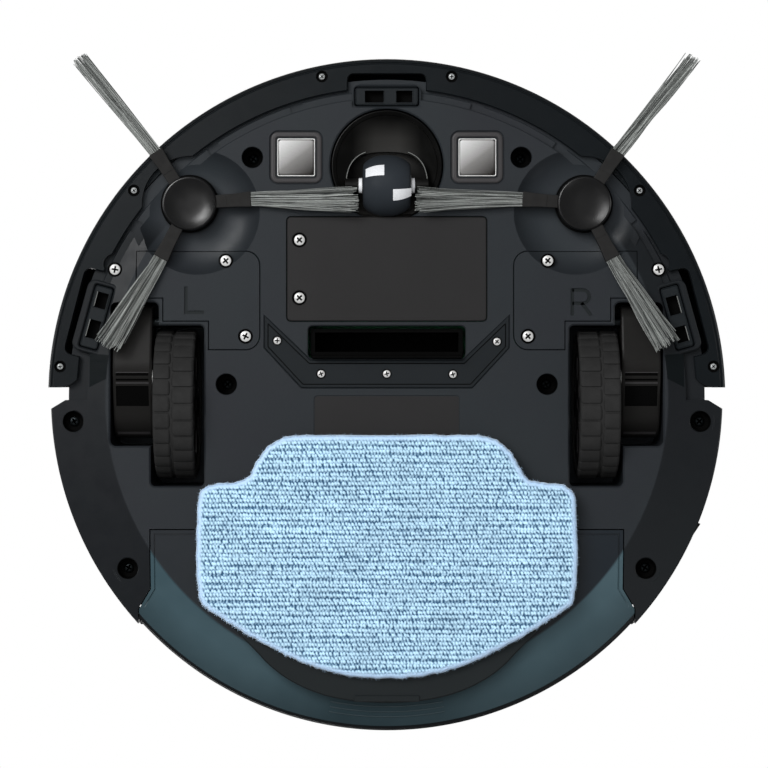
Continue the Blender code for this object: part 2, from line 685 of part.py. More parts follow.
def mesh_phase(teeth, follows_teeth, direction, follows_phase=0.0):
    """Phase that puts a gear's space opposite the other gear's tooth along the line of centres."""
    own = (direction + math.pi) / (2 * math.pi) * teeth
    other = direction / (2 * math.pi) * follows_teeth - follows_phase
    return own + other + 0.5


def drive_arm(name, side):
    arm = across(f"drive_arm_{name}", arm_outline(), side, 0.1020, 0.1190, COVER)
    cut(arm, across("gear_space", arm_outline(0.0016), side, 0.1036, 0.1174))
    fuse(arm, pin_across("pivot_boss", 0.0052, side, 0.1022, 0.1188, *ARM_PIVOT),
         pin_across("gear_stud", 0.0012, side, 0.1025, 0.1185, GEAR_Y, GEAR_Z))
    band = rectangle(-0.0036, 0.005, 0.0112, 0.0148)
    ribs = [rectangle(y, 0.005, y + 0.0008, 0.0158) for y in (0.0118, 0.0134)]
    for outline in [band] + ribs:
        cut(arm, across("band", outline, side, 0.1030, 0.1180))
    return cut(arm,
               pin_across("pivot_bore", 0.0028, side, 0.1, 0.121, *ARM_PIVOT),
               pin_across("axle_bore", 0.0028, side, 0.1, 0.121, WHEEL_Y, WHEEL_R),
               pin_across("motor_bore", 0.0033, side, 0.1, 0.1045, PINION_Y, PINION_Z))


def gears(name, side):
    """Motor pinion, compound gear and output gear, in mesh at rest."""
    to_gear = math.atan2(GEAR_Z - PINION_Z, GEAR_Y - PINION_Y)
    big_phase = mesh_phase(BIG_TEETH, PINION_TEETH, to_gear)
    to_output = math.pi
    output_phase = mesh_phase(OUTPUT_TEETH, SMALL_TEETH, to_output)
    pinion = across(f"motor_pinion_{name}", gear_outline(PINION_TEETH, FINE), side, 0.1047, 0.1085,
                    GEAR)
    compound = across(f"compound_gear_{name}", gear_outline(BIG_TEETH, FINE, big_phase), side,
                      0.1050, 0.1082, GEAR)
    fuse(compound, across("small", gear_outline(SMALL_TEETH, COARSE), side, 0.1080, 0.1140))
    output = across(f"drive_axle_{name}", gear_outline(OUTPUT_TEETH, COARSE, output_phase), side,
                    0.1092, 0.1138, GEAR)
    fuse(output, pin_across("shaft", 0.0025, side, 0.0850, 0.1186, 0, 0))
    cut(pinion, pin_across("bore", 0.0009, side, 0.1, 0.12, 0, 0, steps=16))
    cut(compound, pin_across("bore", 0.0015, side, 0.1, 0.12, 0, 0, steps=16))
    for gear, y, z in ((pinion, PINION_Y, PINION_Z), (compound, GEAR_Y, GEAR_Z),
                       (output, WHEEL_Y, WHEEL_R)):
        gear.data.transform(Matrix.Translation((0, y, z)))
    return pinion, compound, output


def drive_wheel(name, side):
    low, high = WHEEL_X - WHEEL_W / 2, WHEEL_X + WHEEL_W / 2
    axis = ALONG_X if side > 0 else Matrix.Scale(-1, 4, (1, 0, 0)) @ ALONG_X
    rim = turned(f"wheel_rim_{name}", [
        (0.0028, low + 0.0006), (0.0255, low + 0.0006), (0.0289, low + 0.0016), (0.0289, high - 0.0006),
        (0.0274, high - 0.0006), (0.0274, low + 0.0030), (0.0055, low + 0.0030),
        (0.0055, high - 0.0045), (0.0028, high - 0.0045)], COVER, steps=36,
        axis=axis, at=(0, WHEEL_Y, WHEEL_R))
    tyre = turned(f"wheel_tyre_{name}", [
        (0.0292, low), (0.0312, low), (WHEEL_R, low + 0.0022), (WHEEL_R, high - 0.0022),
        (0.0312, high), (0.0292, high)], TYRE, steps=44, axis=axis, at=(0, WHEEL_Y, WHEEL_R))
    for piece in (rim, tyre):
        if side < 0:
            piece.data.flip_normals()
    return rim, tyre


def drive_motor(name, side):
    motor = pin_across(f"drive_motor_{name}", 0.0088, side, 0.0880, 0.1008, PINION_Y, PINION_Z,
                       STEEL, steps=24)
    return fuse(motor,
                pin_across("boss", 0.0030, side, 0.1000, 0.1038, PINION_Y, PINION_Z),
                pin_across("shaft", 0.0006, side, 0.1030, 0.1084, PINION_Y, PINION_Z, steps=12))


def drive_module(name, side):
    pivot_point = (side * 0.1105, *ARM_PIVOT)
    hub = (side * WHEEL_X, WHEEL_Y, WHEEL_R)
    suspension = empty(f"suspension_{name}", pivot_point)
    pivot(drive_arm(name, side), pivot_point, suspension)
    pivot(drive_motor(name, side), (side * 0.095, PINION_Y, PINION_Z), suspension)
    pinion, compound, output = gears(name, side)
    pivot(pinion, (side * 0.106, PINION_Y, PINION_Z), suspension)
    pivot(compound, (side * 0.110, GEAR_Y, GEAR_Z), suspension)
    rim, tyre = drive_wheel(name, side)
    for piece in (output, rim, tyre):
        pivot(piece, hub, suspension)
    pin_across(f"arm_pin_{name}", 0.0025, side, 0.0968, 0.1222, *ARM_PIVOT, STEEL)
    coil(f"suspension_spring_{name}", 0.0048, 0.0006, 0.0468, 0.0610, 4,
         at=(side * 0.1105, 0.012, 0), points_a_turn=8)


# ---- side brushes ----
ARM_ANGLES = (176.0, 56.7, -62.4)       # degrees from +X for the left brush; the right one mirrors
TUFT_REACH = (0.0735, 0.0800, 0.0765)   # spindle to bristle tip
TUFT_BEND = (0.5, -5.5, 5.0)            # degrees that each tuft leans from its arm
HUB_R = 0.0117


def placed_on_arm(obj, side, angle):
    """Turns a shape made along +X from the spindle to its arm's place."""
    obj.data.transform(Matrix.Rotation(math.radians(angle), 4, "Z"))
    if side < 0:
        obj.data.transform(Matrix.Scale(-1, 4, (1, 0, 0)))
        obj.data.flip_normals()
    obj.data.transform(Matrix.Translation((side * BRUSH[0], BRUSH[1], 0)))
    return obj


def loft(name, sections, material=None):
    """A closed solid through rectangular sections, each (x, y, z, width, thickness)."""
    bm = bmesh.new()
    rings = []
    for x, y, z, width, thick in sections:
        corners = ((-1, -1), (1, -1), (1, 1), (-1, 1))
        rings.append([bm.verts.new((x, y + a * width / 2, z + b * thick / 2)) for a, b in corners])
    for first, second in zip(rings, rings[1:]):
        for i in range(4):
            k = (i + 1) % 4
            bm.faces.new((first[i], first[k], second[k], second[i]))
    bm.faces.new(rings[0][::-1])
    bm.faces.new(rings[-1])
    bmesh.ops.recalc_face_normals(bm, faces=bm.faces)
    mesh = bpy.data.meshes.new(name)
    bm.to_mesh(mesh)
    bm.free()
    return add(name, mesh, material)


def side_brush(name, side):
    spindle = (side * BRUSH[0], BRUSH[1], 0.0115)
    hub = turned(f"side_brush_hub_{name}", [
        (0, 0.0078), (0.005, 0.0080), (0.0092, 0.0088), (0.0112, 0.0102), (HUB_R, 0.0120),
        (HUB_R, 0.0132), (0.0050, 0.0132), (0.0050, 0.0168), (0.0023, 0.0168), (0.0023, 0.0110),
        (0, 0.0110)], RUBBER, centre=spindle[:2], steps=28)
    carrier = turned("carrier", [(0.0056, 0.0135), (0.0100, 0.0135), (0.0100, 0.0143),
                                 (0.0056, 0.0143)], BRISTLE, centre=spindle[:2], steps=24)
    for angle, reach, lean in zip(ARM_ANGLES, TUFT_REACH, TUFT_BEND):
        arm = loft("arm", [(0.0085, 0, 0.0112, 0.0062, 0.0034), (0.0180, 0, 0.0112, 0.0056, 0.0034),
                           (0.0262, 0, 0.0106, 0.0052, 0.0030)])
        fuse(hub, placed_on_arm(arm, side, angle))
        bend = math.radians(lean)
        strip = loft("strip", [(0.0070, 0, 0.0139, 0.0030, 0.0006), (0.0268, 0, 0.0139, 0.0030, 0.0006),
                               (0.0272, 0, 0.0118, 0.0044, 0.0044)])
        tuft_points = []
        for share, width, z in ((0, 0.0046, 0.0104), (0.5, 0.0078, 0.0080), (1, 0.0112, 0.0048)):
            run = (reach - 0.0268) * share
            tuft_points.append((0.0268 + run * math.cos(bend), run * math.sin(bend), z, width,
                                0.0034 - 0.0006 * share))
        tuft = loft("tuft", tuft_points)
        fuse(strip, tuft)
        fuse(carrier, placed_on_arm(strip, side, angle))
    carrier.name = f"side_brush_bristles_{name}"
    pivot(hub, spindle)
    return hub, pivot(carrier, spindle)


# ---- water tank, mop and dust box, which slide out together ----
MOP_HALF = [(0, -0.1213), (0.0230, -0.1190), (0.0425, -0.1115), (0.0600, -0.1020), (0.0760, -0.0920),
            (0.0820, -0.0868), (0.0820, -0.0440), (0.0790, -0.0385), (0.0735, -0.0367),
            (0.0625, -0.0360), (0.0585, -0.0330), (0.0560, -0.0270), (0.0510, -0.0200),
            (0.0440, -0.0165), (0.0360, -0.0158)]


def mirrored(half):
    """A whole outline from its +X half, which runs from the rear to the front."""
    return half + [(-x, y) for x, y in reversed(half) if x > 0]


def water_tank():
    slope = (RIM_Z - BASE_Z) / (RIM_R - FLAT_R)
    rim_z = BASE_Z + slope * (TANK_R - FLAT_R)
    tank = turned("water_tank", [
        (0, TANK_TOP), (TANK_R - 0.002, TANK_TOP), (TANK_R, TANK_TOP - 0.002), (TANK_R, rim_z),
        (FLAT_R, BASE_Z), (0, BASE_Z)], TANK)
    keep(tank, prism("tank_plan", tank_outline(), 0.0, 0.1))
    wall = 0.0018
    hollow = turned("water", [
        (0, TANK_TOP - wall), (TANK_R - 0.004, TANK_TOP - wall), (TANK_R - wall, TANK_TOP - 0.004),
        (TANK_R - wall, rim_z + wall * 0.8), (FLAT_R, BASE_Z + wall), (0, BASE_Z + wall)])
    keep(hollow, prism("water_plan", tank_outline(-wall), 0.0, 0.1))
    cut(hollow, box("button_block", (-0.0185, -0.16, 0.0405), (0.0185, -0.1368, 0.06)))
    cut(tank, hollow, rod("fill_hole", 0.0080, 0.05, 0.06, at=(-0.070, -0.085, 0)),
        box("button_slot", (-0.0165, -0.16, 0.0430), (0.0165, -0.1384, 0.0530)))
    return tank


def tank_cap():
    return turned("tank_cap", [
        (0, 0.0566), (0.0105, 0.0566), (0.0105, 0.0563), (0.0077, 0.0563), (0.0073, 0.0530),
        (0, 0.0530)], RUBBER, centre=(-0.070, -0.085), steps=24)


def tank_release_button():
    button = box("tank_release_button", (-0.0160, -0.1462, 0.0434), (0.0160, -0.1420, 0.0526), RUBBER)
    bevel = button.modifiers.new("edge", "BEVEL")
    bevel.width = 0.0008
    bevel.segments = 2
    return pivot(button, (0, -0.1435, 0.048))


def mop_holder():
    half = [(0, -0.1318), (0.0170, -0.1308), (0.0330, -0.1268), (0.0480, -0.1185), (0.0590, -0.1065),
            (0.0790, -0.0870), (0.0790, -0.0430), (0.0760, -0.0405), (0.0580, -0.0390),
            (0.0520, -0.0250), (0.0430, -0.0195)]
    plate = prism("mop_holder", mirrored(half), 0.0062, 0.0118, COVER)
    hollow = [(x * 0.94, -0.076 + (y + 0.076) * 0.94) for x, y in mirrored(half)]
    return cut(plate, prism("back_hollow", hollow, 0.0082, 0.02))


def mop_cloth():
    cloth = prism("mop_cloth", mirrored(MOP_HALF), 0.0003, 0.0057, CLOTH)
    bevel = cloth.modifiers.new("edge", "BEVEL")
    bevel.width = 0.0015
    bevel.segments = 1
    bevel.limit_method = "ANGLE"
    bevel.angle_limit = math.radians(50)
    return cloth


def dust_box():
    """Open to the duct in front and to the filter at its right end."""
    body = box("dust_box", (-0.028, -0.0569, 0.0180), (0.0665, -0.0080, 0.0560), TANK)
    cut(body, box("dust", (-0.0285, -0.0553, 0.0196), (0.0649, -0.0096, 0.0544)),
        box("port", (-0.0278, -0.02, 0.0420), (0.0300, -0.005, 0.0535)))
    frame = box("dust_filter", (-0.0320, -0.0565, 0.0184), (-0.0284, -0.0084, 0.0556), FILTER)
    return body, frame


BLADES = 7


def fan():
    """A centrifugal fan in a scroll housing beside the dust box."""
    cx, cy = -0.0500, -0.0325
    housing = box("fan_housing", (-0.0665, -0.0569, 0.0180), (-0.0323, -0.0080, 0.0560), BLACK)
    cut(housing, rod("chamber", 0.0156, 0.0235, 0.0540, at=(cx, cy, 0), steps=32),
        box("inlet", (-0.040, -0.046, 0.0430), (-0.030, -0.019, 0.0535)),
        box("outlet", (-0.0700, -0.0480, 0.0245), (-0.0500, -0.0380, 0.0400)))
    impeller = rod("fan_impeller", 0.0140, 0.0248, 0.0262, WHITE, at=(cx, cy, 0), steps=32)
    fuse(impeller, rod("hub", 0.0045, 0.0255, 0.0390, at=(cx, cy, 0), steps=16))
    for i in range(BLADES):
        blade = loft("blade", [(0.0035, 0, 0.0320, 0.0009, 0.0120), (0.0090, 0.0012, 0.0320, 0.0009, 0.0120),
                               (0.0136, 0.0036, 0.0320, 0.0009, 0.0120)])
        blade.data.transform(Matrix.Translation((cx, cy, 0)) @ Matrix.Rotation(i * math.tau / BLADES, 4, "Z"))
        fuse(impeller, blade)
    return housing, pivot(impeller, (cx, cy, 0.025))


def rear_unit():
    slide = empty("rear_unit", (0, TANK_FRONT_Y, 0.035))
    body, frame = dust_box()
    housing, impeller = fan()
    for piece in (water_tank(), tank_cap(), mop_holder(), mop_cloth(), body, frame, housing):
        pivot(piece, (0, TANK_FRONT_Y, 0.035), slide)
    for piece in (impeller, tank_release_button()):
        bpy.context.view_layer.update()
        piece.parent = slide
        piece.matrix_parent_inverse = slide.matrix_world.inverted()


def smooth_round_faces():
    """Smooth shading on curved faces, with the edges over 35 degrees kept sharp."""
    for obj in ROBOT.objects:
        if obj.type == "MESH":
            obj.data.shade_smooth()
            obj.data.set_sharp_from_angle(angle=math.radians(35))


def build():
    base = base_plate()
    covers_from(base)
    upper_shell()
    top_cover()
    start_button()
    power_switch()
    battery()
    battery_screws()
    suction_mouth()
    charging_contacts()
    cliff_sensors()
    mainboard()
    side_brush_gearmotors()
    bumper()
    bumper_window()
    bumper_switches()
    caster()
    for name, side in SIDES:
        drive_module(name, side)
        side_brush(name, side)
    rear_unit()
    smooth_round_faces()


build()
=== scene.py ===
"""Looks of the round robot vacuum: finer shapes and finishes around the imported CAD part.

Units are metres, +Z is up, +Y is the driving direction, and the left side is at +X.
"""

import json
import math
import random

import bmesh
import bpy
import numpy as np
from mathutils import Matrix, Vector
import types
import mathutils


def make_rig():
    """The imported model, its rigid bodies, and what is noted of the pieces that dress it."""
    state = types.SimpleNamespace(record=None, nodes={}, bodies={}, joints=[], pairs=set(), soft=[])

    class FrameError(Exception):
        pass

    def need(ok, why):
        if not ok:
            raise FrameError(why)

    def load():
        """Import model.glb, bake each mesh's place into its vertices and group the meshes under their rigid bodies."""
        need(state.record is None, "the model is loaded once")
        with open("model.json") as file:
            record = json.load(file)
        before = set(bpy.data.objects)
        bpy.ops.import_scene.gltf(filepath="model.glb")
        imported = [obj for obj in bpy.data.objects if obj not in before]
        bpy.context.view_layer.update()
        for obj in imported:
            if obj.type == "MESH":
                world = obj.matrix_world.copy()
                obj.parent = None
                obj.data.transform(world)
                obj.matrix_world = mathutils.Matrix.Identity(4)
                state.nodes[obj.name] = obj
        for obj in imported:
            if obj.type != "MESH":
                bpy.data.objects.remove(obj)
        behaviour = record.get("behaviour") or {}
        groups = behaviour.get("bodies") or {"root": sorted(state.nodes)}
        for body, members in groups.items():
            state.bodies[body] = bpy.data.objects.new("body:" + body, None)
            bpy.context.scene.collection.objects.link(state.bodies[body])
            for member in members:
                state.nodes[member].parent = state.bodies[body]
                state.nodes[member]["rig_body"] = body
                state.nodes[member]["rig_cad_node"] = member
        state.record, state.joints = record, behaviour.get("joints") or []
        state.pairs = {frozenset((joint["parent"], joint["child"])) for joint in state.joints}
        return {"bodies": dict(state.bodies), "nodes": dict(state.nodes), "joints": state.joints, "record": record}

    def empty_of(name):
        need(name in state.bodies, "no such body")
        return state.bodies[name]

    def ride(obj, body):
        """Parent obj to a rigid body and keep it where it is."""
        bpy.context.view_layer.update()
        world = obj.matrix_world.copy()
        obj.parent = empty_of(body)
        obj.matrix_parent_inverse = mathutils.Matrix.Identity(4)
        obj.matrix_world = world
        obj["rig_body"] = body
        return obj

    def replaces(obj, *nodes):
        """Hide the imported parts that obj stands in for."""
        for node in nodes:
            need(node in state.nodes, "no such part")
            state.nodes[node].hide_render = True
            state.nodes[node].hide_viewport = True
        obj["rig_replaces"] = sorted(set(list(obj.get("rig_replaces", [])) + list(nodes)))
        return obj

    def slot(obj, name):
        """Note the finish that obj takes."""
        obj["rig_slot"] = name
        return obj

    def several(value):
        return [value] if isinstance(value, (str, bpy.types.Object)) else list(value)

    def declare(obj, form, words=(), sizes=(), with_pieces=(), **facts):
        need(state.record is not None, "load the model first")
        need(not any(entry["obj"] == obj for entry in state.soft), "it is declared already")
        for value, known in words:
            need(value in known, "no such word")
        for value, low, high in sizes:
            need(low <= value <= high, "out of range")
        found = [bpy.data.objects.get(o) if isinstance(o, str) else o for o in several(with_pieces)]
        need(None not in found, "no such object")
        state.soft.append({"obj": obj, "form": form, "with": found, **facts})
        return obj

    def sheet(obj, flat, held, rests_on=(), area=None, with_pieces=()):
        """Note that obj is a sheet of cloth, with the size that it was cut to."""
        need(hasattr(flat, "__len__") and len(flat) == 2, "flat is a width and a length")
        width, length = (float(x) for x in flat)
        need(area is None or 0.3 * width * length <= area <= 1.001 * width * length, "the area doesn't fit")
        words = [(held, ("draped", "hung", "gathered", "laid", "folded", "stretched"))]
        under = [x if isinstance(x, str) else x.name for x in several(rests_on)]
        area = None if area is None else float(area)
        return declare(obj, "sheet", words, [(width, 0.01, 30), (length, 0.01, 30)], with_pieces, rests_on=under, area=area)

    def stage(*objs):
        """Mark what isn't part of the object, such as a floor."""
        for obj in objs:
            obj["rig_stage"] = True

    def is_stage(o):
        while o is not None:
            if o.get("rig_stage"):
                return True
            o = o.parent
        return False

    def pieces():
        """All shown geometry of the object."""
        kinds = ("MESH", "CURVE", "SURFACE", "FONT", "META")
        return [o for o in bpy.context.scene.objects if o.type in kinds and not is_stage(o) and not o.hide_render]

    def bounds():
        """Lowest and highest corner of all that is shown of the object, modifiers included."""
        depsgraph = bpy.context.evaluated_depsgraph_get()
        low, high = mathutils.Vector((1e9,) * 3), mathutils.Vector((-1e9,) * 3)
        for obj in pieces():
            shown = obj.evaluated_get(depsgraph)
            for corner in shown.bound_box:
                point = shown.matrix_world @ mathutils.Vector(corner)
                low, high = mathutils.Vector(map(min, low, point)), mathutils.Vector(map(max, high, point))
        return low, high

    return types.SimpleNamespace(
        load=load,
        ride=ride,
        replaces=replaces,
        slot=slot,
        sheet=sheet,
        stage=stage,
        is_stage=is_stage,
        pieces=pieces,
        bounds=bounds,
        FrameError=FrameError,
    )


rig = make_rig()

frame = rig.load()
size_at_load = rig.bounds()

# ---- dimensions shared with the CAD part ----
BASE_Z = 0.014
FLAT_R = 0.122
RIM_R = 0.1465
RIM_Z = 0.021
SLOPE = (RIM_Z - BASE_Z) / (RIM_R - FLAT_R)
SKIN = 0.0024
LEDGE_R, LEDGE_Z = 0.1265, 0.0214
BASE_TOP = 0.030
SHELL_Z = 0.0304
DECK_Z = 0.0692
TOP_Z = 0.078
BODY_R = 0.148
BUMPER_R = 0.150
GAP = 0.0003
WHEEL_R = 0.0325
WHEEL_X = 0.092
WHEEL_W = 0.0175
WHEEL_Y = -0.003
ARM_PIVOT = (0.033, 0.025)
PIN_BORE_R = 0.0028
BRUSH = (0.0854, 0.0841)
BOWL = (0.0822, 0.0805)
BOWL_R = 0.0269
BOWL_LIP_Z = BASE_Z + 0.0002
CASTER = (0.0, 0.1009)
CASTER_WHEEL_R = 0.0132
CASTER_HALF_W = 0.0207 / 2
CASTER_WHEEL_Y = 0.092
CASTER_AXLE = (0, CASTER_WHEEL_Y, CASTER_WHEEL_R)
NOTCH_Y = -0.001
BUMPER_END_Y = 0.0045
TANK_FRONT_Y = -0.0574
TANK_R = 0.1452
TANK_TOP = 0.056
BUTTON = (0, 0.045)
SENSOR_R = 0.131
SENSOR_TURNS = (("front", 0.0), ("left", -74.5), ("right", 74.5))
SENSOR_WINDOWS = ((0.0010, 0.0098), (-0.0114, -0.0038))
CONTACT = (0.0393, 0.1043)
WELLS = (  # outline, height of the ceiling, corner radius: the wheel's and the gearbox's
    ((0.0792, -0.0385, 0.1025, 0.0315), 0.068, 0.0022),
    ((0.0989, -0.021, 0.1200, 0.0415), 0.062, 0.0026),
)
WELL_WALL = 0.0016
ARM_CIRCLES = ((WHEEL_Y, WHEEL_R, 0.0145), (0.013, 0.0295, 0.016), (*ARM_PIVOT, 0.007))
SWITCH_ANGLE = 205.0

# ---- screws, as (x, y): the left one of each pair, except the battery's and the inlet's ----
SCREW_TOWERS = ((0.0583, 0.1043), (0.0696, 0.0059), (0.1366, -0.0103), (0.1128, -0.0743))
TOWER_R, TOWER_TOP = 0.0066, 0.0285
SCREWS_IN_BELLY = ((0.0699, 0.0595), (0.0613, 0.0267), (0.1182, 0.0558))
BATTERY_SCREWS = ((0.0379, 0.0685), (0.0379, 0.0434))
INLET_SCREWS = ((0.0475, 0.0248), (0.0285, 0.0104), (0, 0.0104), (-0.0287, 0.0102), (-0.0478, 0.0244))
BUMPER_SCREWS = ((0.1099, 0.0901), (0.1420, 0.0136), (0.0282, 0.1396))

# ---- sizes of the looks ----
STROKE = 0.0015
TREAD_BLOCKS = 28
TREAD_FLOOR_R = 0.0314
ARM_NEAR, ARM_FAR = 0.1, 0.121  # past both faces of a drive arm
CLAMP_HALF = 0.0026
CLAMP_END = 0.0262
STRANDS = 92
TUFTS = (  # direction of the arm, reach from the spindle, lean in degrees, half width at the end
    (176.0, 0.0745, 4.5, 0.0050),
    (56.7, 0.0800, -5.5, 0.0030),
    (-62.4, 0.0728, 4.0, 0.0056),
)
MOP_CELL = 0.00032
ROW_PITCH, LOOP_PITCH = 3 * MOP_CELL, 0.00144
LOOP_REACH = 0.0015
FRINGE_PITCH = 0.00011
HEM = 0.0030
CREASE_Y = -0.0655
PAST = 0.165  # further out than anything on the body
ROUND = 256

# ---- sizes of the colour changes, most of them painted light and shade: where one starts and ends, or its radius and width ----
ABOVE_BELLY = (0.0222, 0.0228)
# FLAT_FRONT_Y and BELLY_EDGE bound the chassis' painted shade outside the flat belly; BELLY_EDGE also bounds the
# tank's darkened flat.
FLAT_FRONT_Y = (0.060, 0.078)
BELLY_EDGE = (FLAT_R - 0.0004, 0.001)
TANK_EDGE = (TANK_R - 0.0021, 0.0003)
# Painted shading on the tank: darker beyond TANK_RIM, lighter toward TANK_SIDES.
TANK_RIM = (0.1300, 0.0120)
TANK_SIDES = (0.020, 0.085)
# Where the caster dome's painted highlight runs.
DOME_MIDDLE = (0.0050, 0.0150)
DOME_FRONT = (0.1130, 0.1215)
# Painted highlight in the bowls' middle and painted shade at their lip.
BOWL_PAINTED_LIGHT = (1.25, 0.90)

# ---- sides and axes ----
SIDES = (("left", 1), ("right", -1))
ALONG_X = Matrix(((0, 0, 1, 0), (1, 0, 0, 0), (0, 1, 0, 0), (0, 0, 0, 1)))
MIRROR = Matrix.Scale(-1, 4, (1, 0, 0))


# ---- finishes ----
class Finish:
    """Nodes for one material, with helpers that add and link them."""

    def __init__(self, name):
        self.material = bpy.data.materials.new(name)
        self.material.use_nodes = True
        self.tree = self.material.node_tree
        self.shader = self.tree.nodes["Principled BSDF"]
        self.place = self.node("ShaderNodeTexCoord").outputs["Object"]

    def node(self, kind, **values):
        made = self.tree.nodes.new(kind)
        for key, value in values.items():
            if key in made.inputs:
                made.inputs[key].default_value = value
            else:
                setattr(made, key, value)
        return made

    def link(self, output, target):
        self.tree.links.new(output, target)

    def feed(self, socket, value):
        """Links the value to the socket, or sets it there if it is a number or a colour."""
        if isinstance(value, bpy.types.NodeSocket):
            self.link(value, socket)
        else:
            socket.default_value = (*value, 1) if isinstance(value, tuple) else value

    def shade(self, **values):
        """Feeds sockets of the shader; a name has _ for each space."""
        for key, value in values.items():
            self.feed(self.shader.inputs[key.replace("_", " ")], value)

    def attribute(self, name):
        return self.node("ShaderNodeAttribute", attribute_name=name).outputs["Fac"]

    def axes(self, place=None):
        """X, Y and Z of a place, which is the point in the object if none is given."""
        split = self.node("ShaderNodeSeparateXYZ")
        self.link(place or self.place, split.inputs[0])
        return tuple(split.outputs)

    def noise(self, scale, detail=3.0, rough=0.5, stretch=None):
        made = self.node("ShaderNodeTexNoise", Scale=scale, Detail=detail, Roughness=rough)
        place = self.place
        if stretch:
            mapping = self.node("ShaderNodeMapping", Scale=stretch)
            self.link(place, mapping.inputs["Vector"])
            place = mapping.outputs["Vector"]
        self.link(place, made.inputs["Vector"])
        return made.outputs["Fac"]

    def spread(self, value, low, high, start=0.3, end=0.7):
        made = self.node("ShaderNodeMapRange")
        for key, number in (("From Min", start), ("From Max", end), ("To Min", low), ("To Max", high)):
            made.inputs[key].default_value = number
        self.link(value, made.inputs["Value"])
        return made.outputs["Result"]

    def mix(self, factor, first, second, blend="MIX"):
        made = self.node("ShaderNodeMix", data_type="RGBA", blend_type=blend)
        for index, value in ((0, factor), (6, first), (7, second)):
            self.feed(made.inputs[index], value)
        return made.outputs[2]

    def times(self, first, second):
        return self.mix(1.0, first, second, "MULTIPLY")

    def maths(self, operation, first, second=0.0):
        made = self.node("ShaderNodeMath", operation=operation)
        self.feed(made.inputs[0], first)
        self.feed(made.inputs[1], second)
        return made.outputs[0]

    def bump(self, height, strength, distance):
        made = self.node("ShaderNodeBump", Strength=strength, Distance=distance)
        self.link(height, made.inputs["Height"])
        self.link(made.outputs["Normal"], self.shader.inputs["Normal"])

    def beyond(self, radius, width, outer, flat_front=False):
        """1 inside the radius and above the belly, changing to outer beyond it.

        With flat_front the front of the belly counts as inside.
        """
        plan = self.node("ShaderNodeVectorMath", operation="MULTIPLY")
        self.link(self.place, plan.inputs[0])
        plan.inputs[1].default_value = (1, 1, 0)
        length = self.node("ShaderNodeVectorMath", operation="LENGTH")
        self.link(plan.outputs["Vector"], length.inputs[0])
        _, y, z = self.axes()
        level = self.spread(length.outputs["Value"], 1.0, outer, radius, radius + width)
        level = self.maths("MAXIMUM", level, self.spread(z, 0, 1, *ABOVE_BELLY))
        if flat_front:
            level = self.maths("MAXIMUM", level, self.spread(y, 0, 1, *FLAT_FRONT_Y))
        return level

    def bowls(self):
        """1 off the side brushes' bowls; on them a painted highlight in the middle and painted shade at the lip."""
        x, y, z = self.axes()
        sideways = self.maths("SUBTRACT", self.maths("ABSOLUTE", x), BOWL[0])
        along = self.maths("SUBTRACT", y, BOWL[1])
        squares = [self.maths("MULTIPLY", way, way) for way in (sideways, along)]
        out = self.maths("SQRT", self.maths("ADD", *squares))
        painted_light = self.spread(out, *BOWL_PAINTED_LIGHT, 0.0150, BOWL_R - 0.0006)
        off = self.maths("MAXIMUM", self.spread(out, 0, 1, BOWL_R - 0.0002, BOWL_R),
                         self.spread(z, 0, 1, *ABOVE_BELLY))
        change = self.maths("MULTIPLY", self.maths("SUBTRACT", 1.0, painted_light), off)
        return self.maths("ADD", painted_light, change)


def shaded(colour, share):
    return tuple(channel * share for channel in colour)


def plastic(name, colour, other=None, roughness=0.45, grain=2600, grain_depth=0.00003, mottle=0.16,
            specular=0.5, outer=1.0):
    """Moulded plastic: fine spark-eroded grain, cloudy colour change and uneven gloss.

    Outside the flat belly the colour is scaled by outer, as painted shade, and the brushes' bowls get painted light
    and shade.
    """
    f = Finish(name)
    cloud = f.spread(f.noise(22, 4, 0.6), 0, 1)
    base = f.mix(cloud, colour, other or shaded(colour, 1 - mottle))
    grain_and_shade = f.times(base, f.spread(f.noise(grain, 2), 0.90, 1.10))
    # Painted shade: darker outside the flat belly, and painted light and shade in the brushes' bowls.
    if outer != 1.0:
        grain_and_shade = f.times(grain_and_shade, f.beyond(*BELLY_EDGE, outer, True))
        grain_and_shade = f.times(grain_and_shade, f.bowls())
    rub = f.spread(f.noise(140, 5, 0.65), roughness - 0.07, roughness + 0.07)
    f.shade(Base_Color=grain_and_shade, Roughness=rub, Specular_IOR_Level=specular)
    f.bump(f.noise(grain, 3, 0.6), 0.35, grain_depth)
    return f.material


def gloss(name, colour, roughness=0.12, coat=0.4, specular=0.5):
    """Polished plastic with faint wipe marks."""
    f = Finish(name)
    cloud = f.spread(f.noise(30, 3), 0, 1)
    wipe = f.spread(f.noise(60, 6, 0.7, stretch=(1, 6, 1)), roughness * 0.75, roughness * 1.35)
    f.shade(Base_Color=f.mix(cloud, colour, shaded(colour, 0.8)), Roughness=wipe,
            Specular_IOR_Level=specular, Coat_Weight=coat, Coat_Roughness=0.06)
    f.bump(f.noise(420, 2), 0.08, 0.00004)
    return f.material


def metal(name, colour, roughness, metallic=0.45):
    """Metal with fine draw lines and slight tarnish."""
    f = Finish(name)
    lines = f.noise(300, 3, 0.6, stretch=(20, 1, 1))
    toned = f.mix(f.spread(f.noise(90, 4), 0, 1), colour, shaded(colour, 0.82))
    f.shade(Base_Color=f.times(toned, f.spread(lines, 0.88, 1.08)), Metallic=metallic,
            Roughness=f.spread(lines, roughness - 0.06, roughness + 0.10))
    f.bump(lines, 0.25, 0.00002)
    return f.material


def rubber(name, colour, roughness, specular):
    """Matte rubber with dusty high spots."""
    f = Finish(name)
    dust = f.spread(f.noise(150, 5, 0.7), 0, 1)
    f.shade(Base_Color=f.mix(dust, colour, shaded(colour, 1.35)), Specular_IOR_Level=specular,
            Roughness=f.spread(f.noise(500, 3), roughness - 0.08, roughness + 0.1))
    f.bump(f.noise(1500, 4, 0.65), 0.5, 0.00005)
    return f.material


